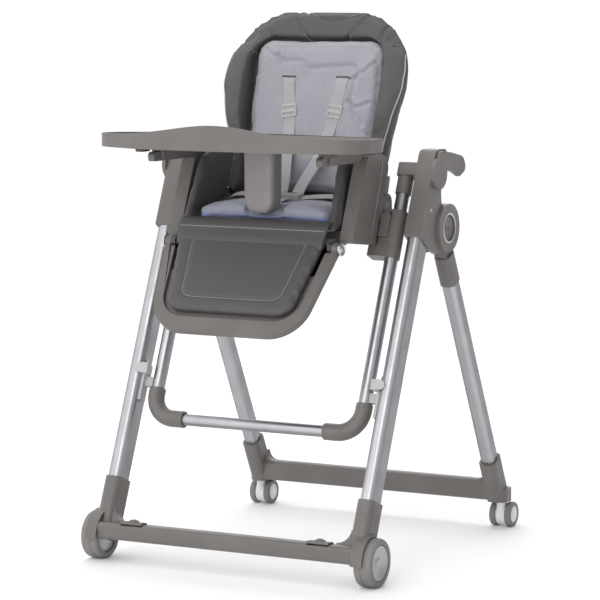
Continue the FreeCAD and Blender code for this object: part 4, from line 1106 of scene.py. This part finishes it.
def stuffed(node: str, name: str, how: Stuffing) -> bpy.types.Object:
    """Make a padded piece from a soft CAD solid.

    The solid is remeshed in voxels, its corners relaxed and its skin drawn in a little; cloth
    under pressure then swells it, no vertex moving further than the cap; one subdivision ends it.

    Args:
        node: The CAD node.
        name: Name of the piece.
        how: Its settings.

    Returns:
        The piece.
    """
    piece = node_copy(node, name, merge_flats=False)
    voxels = piece.modifiers.new("Voxels", "REMESH")
    voxels.mode, voxels.voxel_size = "VOXEL", how.voxel
    soft = piece.modifiers.new("Soften", "SMOOTH")
    soft.factor, soft.iterations = 0.5, how.soften
    flatten(piece)
    rest = vertices_of(piece) - normals_of(piece) * how.shrink
    move_to(piece, rest)
    cloth = piece.modifiers.new("Cloth", "CLOTH")
    settings = cloth.settings
    settings.quality, settings.mass = 4, 0.3
    settings.tension_stiffness = settings.compression_stiffness = how.stiffness
    settings.shear_stiffness, settings.bending_stiffness = how.stiffness / 2, 0.6
    settings.use_pressure, settings.uniform_pressure_force = True, how.pressure
    settings.effector_weights.gravity = 0.0
    cloth.point_cache.frame_start, cloth.point_cache.frame_end = 1, 20
    scene = bpy.context.scene
    for step in range(1, 21):
        scene.frame_set(step)
    flatten(piece)
    scene.frame_set(1)
    moved = vertices_of(piece) - rest
    far = np.linalg.norm(moved, axis=1, keepdims=True)
    move_to(piece, rest + moved * np.minimum(1, how.cap / np.maximum(far, 1e-9)))
    finer = piece.modifiers.new("Finer", "SUBSURF")
    finer.levels = finer.render_levels = 1
    flatten(piece)
    shade_smooth(piece.data)
    return piece


def rumple(piece: bpy.types.Object, waves: tuple, height: float) -> None:
    """Give a soft piece shallow uneven hollows.

    Each vertex moves along its normal by height times the mean of sin(k . p + phase) over the
    waves, where each wave is (kx, ky, kz, phase).

    Args:
        piece: The mesh object.
        waves: The waves, in radians per metre.
        height: Largest movement.
    """
    points, normals = vertices_of(piece), normals_of(piece)
    k = np.array(waves)
    shift = np.sin(points @ k[:, :3].T + k[:, 3]).mean(1) * height
    move_to(piece, points + normals * shift[:, None])


# ---------------------------------------------------------------- backrest
@dataclass
class Backrest:
    """Leatherette bucket with sewn channels and piping whose light grey is a painted highlight, and its
    loose pad.

    The lines are in millimetres in the backrest's front view, as (across, up the slope); piping
    has the depth between the two.
    """

    channels: tuple = (((-180, 327), (-157, 311), (-135, 293)),
                       ((-122, 365), (-107, 341), (-99, 316)),
                       ((-61, 383), (-46, 352), (-23, 324)),
                       ((95, 381), (71, 351), (49, 325)),
                       ((137, 358), (128, 328), (124, 304)),
                       ((161, 316), (177, 324), (190, 326)),
                       ((-41, 384), (-18, 373), (9, 367), (41, 369), (72, 379)))
    piping: tuple = ((158, -24, 44), (170, -26, 110), (184, -30, 175), (194, -26, 232),
                     (196, -19, 285), (190, -10, 322))
    folds: tuple = (((80, 184), (98, 160), (118, 142)), ((72, 206), (96, 196), (118, 204)),
                    ((76, 250), (98, 262), (118, 284)), ((-76, 283), (-96, 294), (-112, 304)))
    flap: tuple = ((-84, 296), (-74, 285), (-34, 284), (-18, 272), (23, 274), (70, 277),
                   (88, 268), (84, 244), (80, 219), (83, 200), (92, 182), (108, 162))
    hem: tuple = ((-124, 34), (-131, 120), (-132, 215), (-126, 285), (-112, 307), (0, 310),
                  (112, 307), (126, 285), (132, 215), (131, 120), (124, 34))

    def front_line(self, flat: tuple, count: int, depth: float = -20.0) -> np.ndarray:
        """Turn a line of the backrest's front view into a smooth one in the row frame.

        Args:
            flat: Its points, (across, up the slope) in millimetres.
            count: Samples along it.
            depth: How far to the rear it lies, in millimetres.

        Returns:
            Array (count, 3).
        """
        line = curve_through([(x * MM, depth * MM, h * MM) for x, h in flat], count)
        return on_back(line)

    def raise_top(self, piece: bpy.types.Object, start: float, over: float,
                  by: tuple) -> None:
        """Ease the upper part of a piece up its slope.

        The share s of the shift grows with height h as s = e^2 (3 - 2 e), with
        e = (h - start) / over clipped to 0..1.

        Args:
            piece: The mesh object.
            start: Height in the backrest frame where the shift starts.
            over: Height over which it grows.
            by: The full shift in the backrest frame.
        """
        points = vertices_of(piece)
        up = np.array([0.0, math.sin(BACK_LEAN), math.cos(BACK_LEAN)])
        ease = np.clip(((points - BACK_ORIGIN) @ up - start) / over, 0, 1)
        ease = ease * ease * (3 - 2 * ease)
        move_to(piece, points + ease[:, None] * (on_back(np.array([by])) - BACK_ORIGIN))

    def build(self) -> None:
        """Stuff the cover and pad, then sew them."""
        cover = stuffed("backrest_cover", "backrest_leatherette",
                        Stuffing(voxel=4.2 * MM, cap=5 * MM, shrink=0.5 * MM, soften=10))
        self.raise_top(cover, 0.250, 0.125, (0.0, 1.0 * MM, 9.5 * MM))
        rows = []
        for k, flat in enumerate(self.channels):
            rows += sewn_channel(cover, f"back_stitch_{k}", self.front_line(flat, 60),
                                 3.4 * MM, 4.2 * MM, (-2.6 * MM, 2.6 * MM), BACK_AIM)
        turn = circle(10)
        round_section = 1.5 * MM * np.stack([np.cos(turn), np.sin(turn)], 1)
        cords = []
        for side, sign in SIDES:
            guide = on_back(curve_through([(sign * x * MM, t * MM, h * MM)
                                           for x, t, h in self.piping], 120))
            line, _ = nearest_on(cover, guide)
            press(cover, line, 1.2 * MM, 3.2 * MM)
            laid, _ = nearest_on(cover, guide, 0.5 * MM)
            cords.append(swept(f"piping_{side}", curve_through(list(laid[::8]), 120),
                               round_section, (0.0, 1.0, 0.2)))
        piping = joined("backrest_piping", cords)
        hand_over(cover, "backrest_cover", LEATHERETTE)
        hand_over(joined("backrest_stitching", rows), "backrest_cover", THREAD, stands_for=False)
        # The piping's light colour paints the highlight along the wing edges.
        hand_over(piping, "backrest_cover", PIPING_PAINTED_HIGHLIGHT, stands_for=False)
        self.build_pad()

    def build_pad(self) -> None:
        """Stuff the loose pad, fold its flap and pucker its side."""
        pad = stuffed("back_pad", "back_pad_quilt", Stuffing(voxel=4.5 * MM, cap=7 * MM,
                                                             shrink=-1.0 * MM, soften=4))
        points = vertices_of(pad)
        move_to(pad, points * (1.045, 1.0, 1.0))
        rumple(pad, RIPPLES, 1.8 * MM)
        self.raise_top(pad, 0.235, 0.080, (0.0, -6.0 * MM, 13.0 * MM))
        flap = self.front_line(self.flap, 90, 0.0)
        line, _ = nearest_on(pad, flap)
        press(pad, line, 4.2 * MM, 4.6 * MM)
        outward = on_back(curve_through([(x * 1.13 * MM, 0.0, (h + 13) * MM)
                                         for x, h in self.flap], 90))
        press(pad, outward, -3.0 * MM, 11 * MM)
        for flat in self.folds:
            fold, _ = nearest_on(pad, self.front_line(flat, 30, 0.0))
            press(pad, fold, 2.6 * MM, 4.0 * MM)
            press(pad, fold + (0, 0, 8 * MM), -1.6 * MM, 5 * MM)
        rows = sewn_channel(pad, "pad_hem", self.front_line(self.hem, 240),
                            1.2 * MM, 2.6 * MM, (0.0,), BACK_AIM)
        hand_over(pad, "back_pad", PAD_CLOTH)
        hand_over(joined("back_pad_hem", rows), "back_pad", PAD_THREAD, stands_for=False)
        slits = []
        for side, sign in SIDES:
            slot = on_back(curve_through([(sign * x * MM, -2.0 * MM, 254 * MM)
                                          for x in (43, 58, 73)], 24))
            laid, _ = nearest_on(pad, slot, 0.2 * MM)
            slits.append(swept(f"slit_{side}", laid, self.slit_section(), (0.0, 0.27, 0.96)))
        hand_over(joined("harness_slits", slits), "back_pad", DARK_PLASTIC, stands_for=False)

    def slit_section(self) -> np.ndarray:
        """Flat oval section of a harness slit's dark lips."""
        turn = circle(12)
        return np.stack([1.7 * MM * np.cos(turn), 0.7 * MM * np.sin(turn)], 1)


# ---------------------------------------------------------------- seat and footrest
@dataclass
class SeatSoftness:
    """Seat cover, loose seat pad, calf panel, and the leatherette that joins them and the back.

    The panel's seam is in millimetres in the footrest's own frame, as (across, up its slope), and
    the apron's profile in the side view, as (behind the front feet, height).
    """

    panel: tuple = ((-119, 6), (-116, -20), (-104, -104), (-100, -118), (-86, -126), (-40, -127),
                    (40, -127), (86, -126), (100, -118), (104, -104), (116, -20), (119, 6))
    apron_profile: tuple = ((262, 645.0), (284, 643.5), (304, 641.5), (318, 648.0), (326, 664.0),
                            (329, 684.0), (334, 704.0))

    def apron(self) -> None:
        """Flexible leatherette apron that closes the gap between seat and backrest.

        Its profile is a smooth line in the side view, repeated across the seat; its sides turn
        up by 50 mm times the eighth power of the distance from the middle, over half the width.
        """
        line = curve_through([(0.0, FEET_Y + y * MM, z * MM) for y, z in self.apron_profile], 40)
        u = np.linspace(-1, 1, 41)
        grid = line[:, None] + np.stack([u * 0.156, -0.004 * u ** 6, 0.050 * u ** 8], 1)[None]
        faces = grid_faces(40, 41, False, False)
        apron = new_piece("seat_back_apron", grid.reshape(-1, 3), faces)
        thick = apron.modifiers.new("Thick", "SOLIDIFY")
        thick.thickness, thick.offset = 1.6 * MM, 0.0
        flatten(apron)
        hand_over(apron, "seat_cover", LEATHERETTE, stands_for=False)
        apron.parent = None
        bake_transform(apron)

    def front_flap(self) -> None:
        """Leatherette that runs from the seat's front edge down to the calf panel.

        Its profile is a smooth line in the side view, repeated across the seat; across the width
        it bows by 2 mm (1 - u^2), with u from -1 to 1.
        """
        low = on_footrest(np.array([(0.0, -17.5 * MM, 0.0), (0.0, -13.0 * MM, -12 * MM)]))
        line = curve_through([(0.0, FEET_Y + 0.150, 0.6460), (0.0, FEET_Y + 0.132, 0.6480),
                              (0.0, FEET_Y + 0.1165, 0.6462), (0.0, FEET_Y + 0.1085, 0.6385),
                              (0.0, FEET_Y + 0.1040, 0.6290), tuple(low[0]), tuple(low[1])], 48)
        u = np.linspace(-1, 1, 49)
        half = np.linspace(0.160, 0.152, 48)[:, None]
        grid = np.repeat(line[:, None], 49, 1)
        grid[..., 0] = u * half
        grid[..., 2] += 0.002 * (1 - u ** 2)
        flap = new_piece("seat_front_flap", grid.reshape(-1, 3), grid_faces(48, 49, False, False))
        thick = flap.modifiers.new("Thick", "SOLIDIFY")
        thick.thickness, thick.offset = 2.2 * MM, 0.0
        flatten(flap)
        seam = np.stack([np.linspace(-0.152, 0.152, 120), np.full(120, line[27, 1]),
                         np.full(120, line[27, 2])], 1)
        laid, normals = nearest_on(flap, seam + (0, -0.004, 0.001), 0.2 * MM)
        row = stitch_row("flap_stitching", laid, normals)
        hand_over(flap, "seat_cover", LEATHERETTE, stands_for=False)
        hand_over(row, "seat_cover", THREAD, stands_for=False)
        for piece in (flap, row):
            piece.parent = None
            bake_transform(piece)

    def build(self) -> None:
        """Make both sheets, then stuff and sew the cover, the pad and the calf panel."""
        self.apron()
        self.front_flap()
        cover = stuffed("seat_cover", "seat_leatherette",
                        Stuffing(cap=3.0 * MM, shrink=2.2 * MM, soften=8))
        hand_over(cover, "seat_cover", LEATHERETTE)
        pad = stuffed("seat_pad", "seat_pad_quilt", Stuffing(voxel=4.0 * MM, cap=7 * MM,
                                                             shrink=2.5 * MM, soften=6))
        points = vertices_of(pad) * (1.065, 1.0, 1.0)
        points[:, 2] -= 0.0045 * np.abs(points[:, 0] / 0.14) ** 3
        points[:, 2] += 0.0035 * np.sin(math.pi * np.abs(points[:, 0]) / 0.14) ** 2
        move_to(pad, points)
        rumple(pad, RIPPLES, 2.2 * MM)
        hand_over(pad, "seat_pad", SEAT_CLOTH)
        calf = stuffed("footrest_pad", "calf_leatherette",
                       Stuffing(voxel=4.0 * MM, cap=3.5 * MM, shrink=2.0 * MM, soften=6))
        guide = on_footrest(curve_through([(x, -17.0, h) for x, h in self.panel], 260) * MM)
        aim = on_footrest(np.array([(0.0, 1.0, 0.0)]))[0] - FOOTREST_ORIGIN
        rows = sewn_channel(calf, "calf_stitch", guide, 1.6 * MM, 3.4 * MM, (-1.2 * MM,), aim)
        hand_over(calf, "footrest_pad", LEATHERETTE)
        hand_over(joined("calf_stitching", rows), "footrest_pad", THREAD, stands_for=False)


@dataclass
class Harness:
    """Flat webbing straps, slides, buckle and its button."""

    width: float = 25.0 * MM
    thick: float = 1.6 * MM

    def strap(self, name: str, line: list, across: tuple, count: int = 80) -> bpy.types.Object:
        """Sweep a strap along a smooth line.

        Its section is a thin rounded rectangle whose edges are a little thicker, as selvedges.

        Args:
            name: Object name.
            line: Points in the row frame.
            across: Direction of the strap's width.
            count: Samples along it.

        Returns:
            The strap.
        """
        half, t = self.width / 2, self.thick / 2
        u = np.linspace(-1, 1, 13)
        edge = t * (1 + 0.35 * np.exp(-((np.abs(u) - 0.9) / 0.06) ** 2)) * np.sqrt(
            1 - 0.75 * np.abs(u) ** 14)
        section = np.vstack([np.stack([u * half, edge], 1), np.stack([u * half, -edge], 1)[::-1]])
        return swept(name, curve_through(line, count), section, across)

    def build(self) -> None:
        """Make every strap, the shoulder straps running from the backrest over the recline hinge, and add
        hardware.
        """
        straps = []
        for side, sign in SIDES:
            top = on_back(np.array([(58, 3.0, 256), (58, -5.5, 253), (57, -9.0, 244),
                                    (55.5, -9.0, 232), (49, -7.6, 188), (44, -8.8, 150)]) * MM)
            top[:, 0] *= sign
            line = [tuple(p) for p in top] + [(sign * 0.034, -0.014, 0.752),
                                              (sign * 0.022, -0.046, 0.712),
                                              (sign * 0.017, -0.066, 0.688)]
            strap = self.strap(f"shoulder_strap_{side}", line, (1.0, 0.0, 0.0))
            hand_over(strap, "harness_straps", WEBBING, stands_for=side == "right")
            strap.parent = None
            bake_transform(strap)
            lap = [(sign * 0.133, -0.052, 0.668), (sign * 0.128, -0.056, 0.680),
                   (sign * 0.100, -0.062, 0.6855), (sign * 0.064, -0.068, 0.6850),
                   (sign * 0.030, -0.072, 0.6820)]
            straps.append(self.strap("lap", lap, (0.0, 1.0, 0.25), 50))
        straps.append(self.strap("crotch", [(0, -0.128, 0.668), (0, -0.121, 0.676),
                                            (0, -0.108, 0.679), (0, -0.088, 0.681)],
                                 (1.0, 0.0, 0.0), 30))
        hand_over(joined("lap_straps", straps), "harness_straps", WEBBING, stands_for=False)
        for node, edge in (("strap_adjusters", 0.6 * MM), ("harness_buckle", 2.4 * MM),
                           ("buckle_button", 1.0 * MM)):
            Moulding(node, LIGHT_PLASTIC, edge).build()


# ---------------------------------------------------------------- studio
@dataclass
class Studio:
    """Pale floor, soft lights and the camera."""

    target: tuple = (0.0, -0.0217, 0.4801)
    camera: tuple = (2.48814, -4.83909, 1.11104)
    lens: float = 170.30

    def surroundings(self) -> bpy.types.World:
        """Pale room that grows darker to the right, as behind a flag; its backdrop stays white.

        With x the direction's share along +X, the light from it falls from full to a quarter
        between x = 0.05 and x = 0.5.

        Returns:
            The world.
        """
        world = bpy.data.worlds.new("studio")
        world.use_nodes = True
        g = Graph(world.node_tree)
        across = g.add("ShaderNodeSeparateXYZ", {0: g.add("ShaderNodeTexCoord").outputs[
            "Generated"]}).outputs[0]
        light = g.ramp(across, 0.05, 0.50, 1.38, 0.34)
        seen = g.add("ShaderNodeLightPath").outputs["Is Camera Ray"]
        strength = g.add("ShaderNodeMapRange", {0: seen, 1: 0.0, 2: 1.0, 3: light, 4: 1.03})
        back = world.node_tree.nodes["Background"]
        back.inputs["Color"].default_value = (1, 1, 1, 1)
        g.tree.links.new(strength.outputs[0], back.inputs["Strength"])
        return world

    def build(self) -> None:
        """Make the floor, five soft area lights, a pale world and the camera."""
        scene = bpy.context.scene
        scene.view_settings.view_transform = "Standard"
        half = 60.0
        floor = new_piece("floor", [(-half, -half, 0), (half, -half, 0), (half, half, 0),
                                    (-half, half, 0)], [(0, 1, 2, 3)], recalculate=False)
        floor.data.materials.append(Finish("studio_floor", (0.97, 0.97, 0.97), (0.97, 0.97, 0.97),
                                           (0.9, 0.9), bump=0.0, drift=0.0).material())
        scene.world = self.surroundings()
        lights = (("key", (0.1, -3.3, 2.7), 1.8, 17.0), ("low", (0.7, -3.4, 0.75), 1.7, 17.0),
                  ("fill", (3.0, -1.6, 1.6), 2.2, 6.0), ("top", (0.0, 0.3, 3.4), 2.4, 10.0),
                  ("rim", (-1.2, 2.6, 2.0), 1.8, 10.0))
        for name, place, size, power in lights:
            light = bpy.data.lights.new(name, "AREA")
            light.shape, light.size, light.energy = "DISK", size, power
            lamp = bpy.data.objects.new(name, light)
            lamp.location = place
            lamp.rotation_euler = (Vector(self.target) - Vector(place)).to_track_quat(
                "-Z", "Y").to_euler()
            scene.collection.objects.link(lamp)
        lens = bpy.data.cameras.new("camera")
        lens.lens, lens.sensor_width, lens.clip_end = self.lens, 36.0, 60.0
        view = bpy.data.objects.new("camera", lens)
        view.location = self.camera
        view.rotation_euler = (Vector(self.target) - Vector(self.camera)).to_track_quat(
            "-Z", "Y").to_euler()
        scene.collection.objects.link(view)
        scene.camera = view


def main() -> None:
    """Build the studio and every sub-assembly in order."""
    logging.basicConfig(level=logging.INFO, format="%(name)s: %(message)s")
    Studio().build()
    RigidFrame().build()
    for side, sign in SIDES:
        FrontWheel(side, sign).build()
        CasterWheels(side, sign).build()
        HubButton(side, sign).build()
    Fasteners().build()
    CrotchPost().build()
    PanelSeamHighlights().build()
    Backrest().build()
    SeatSoftness().build()
    Harness().build()


if __name__ == "__main__":
    main()
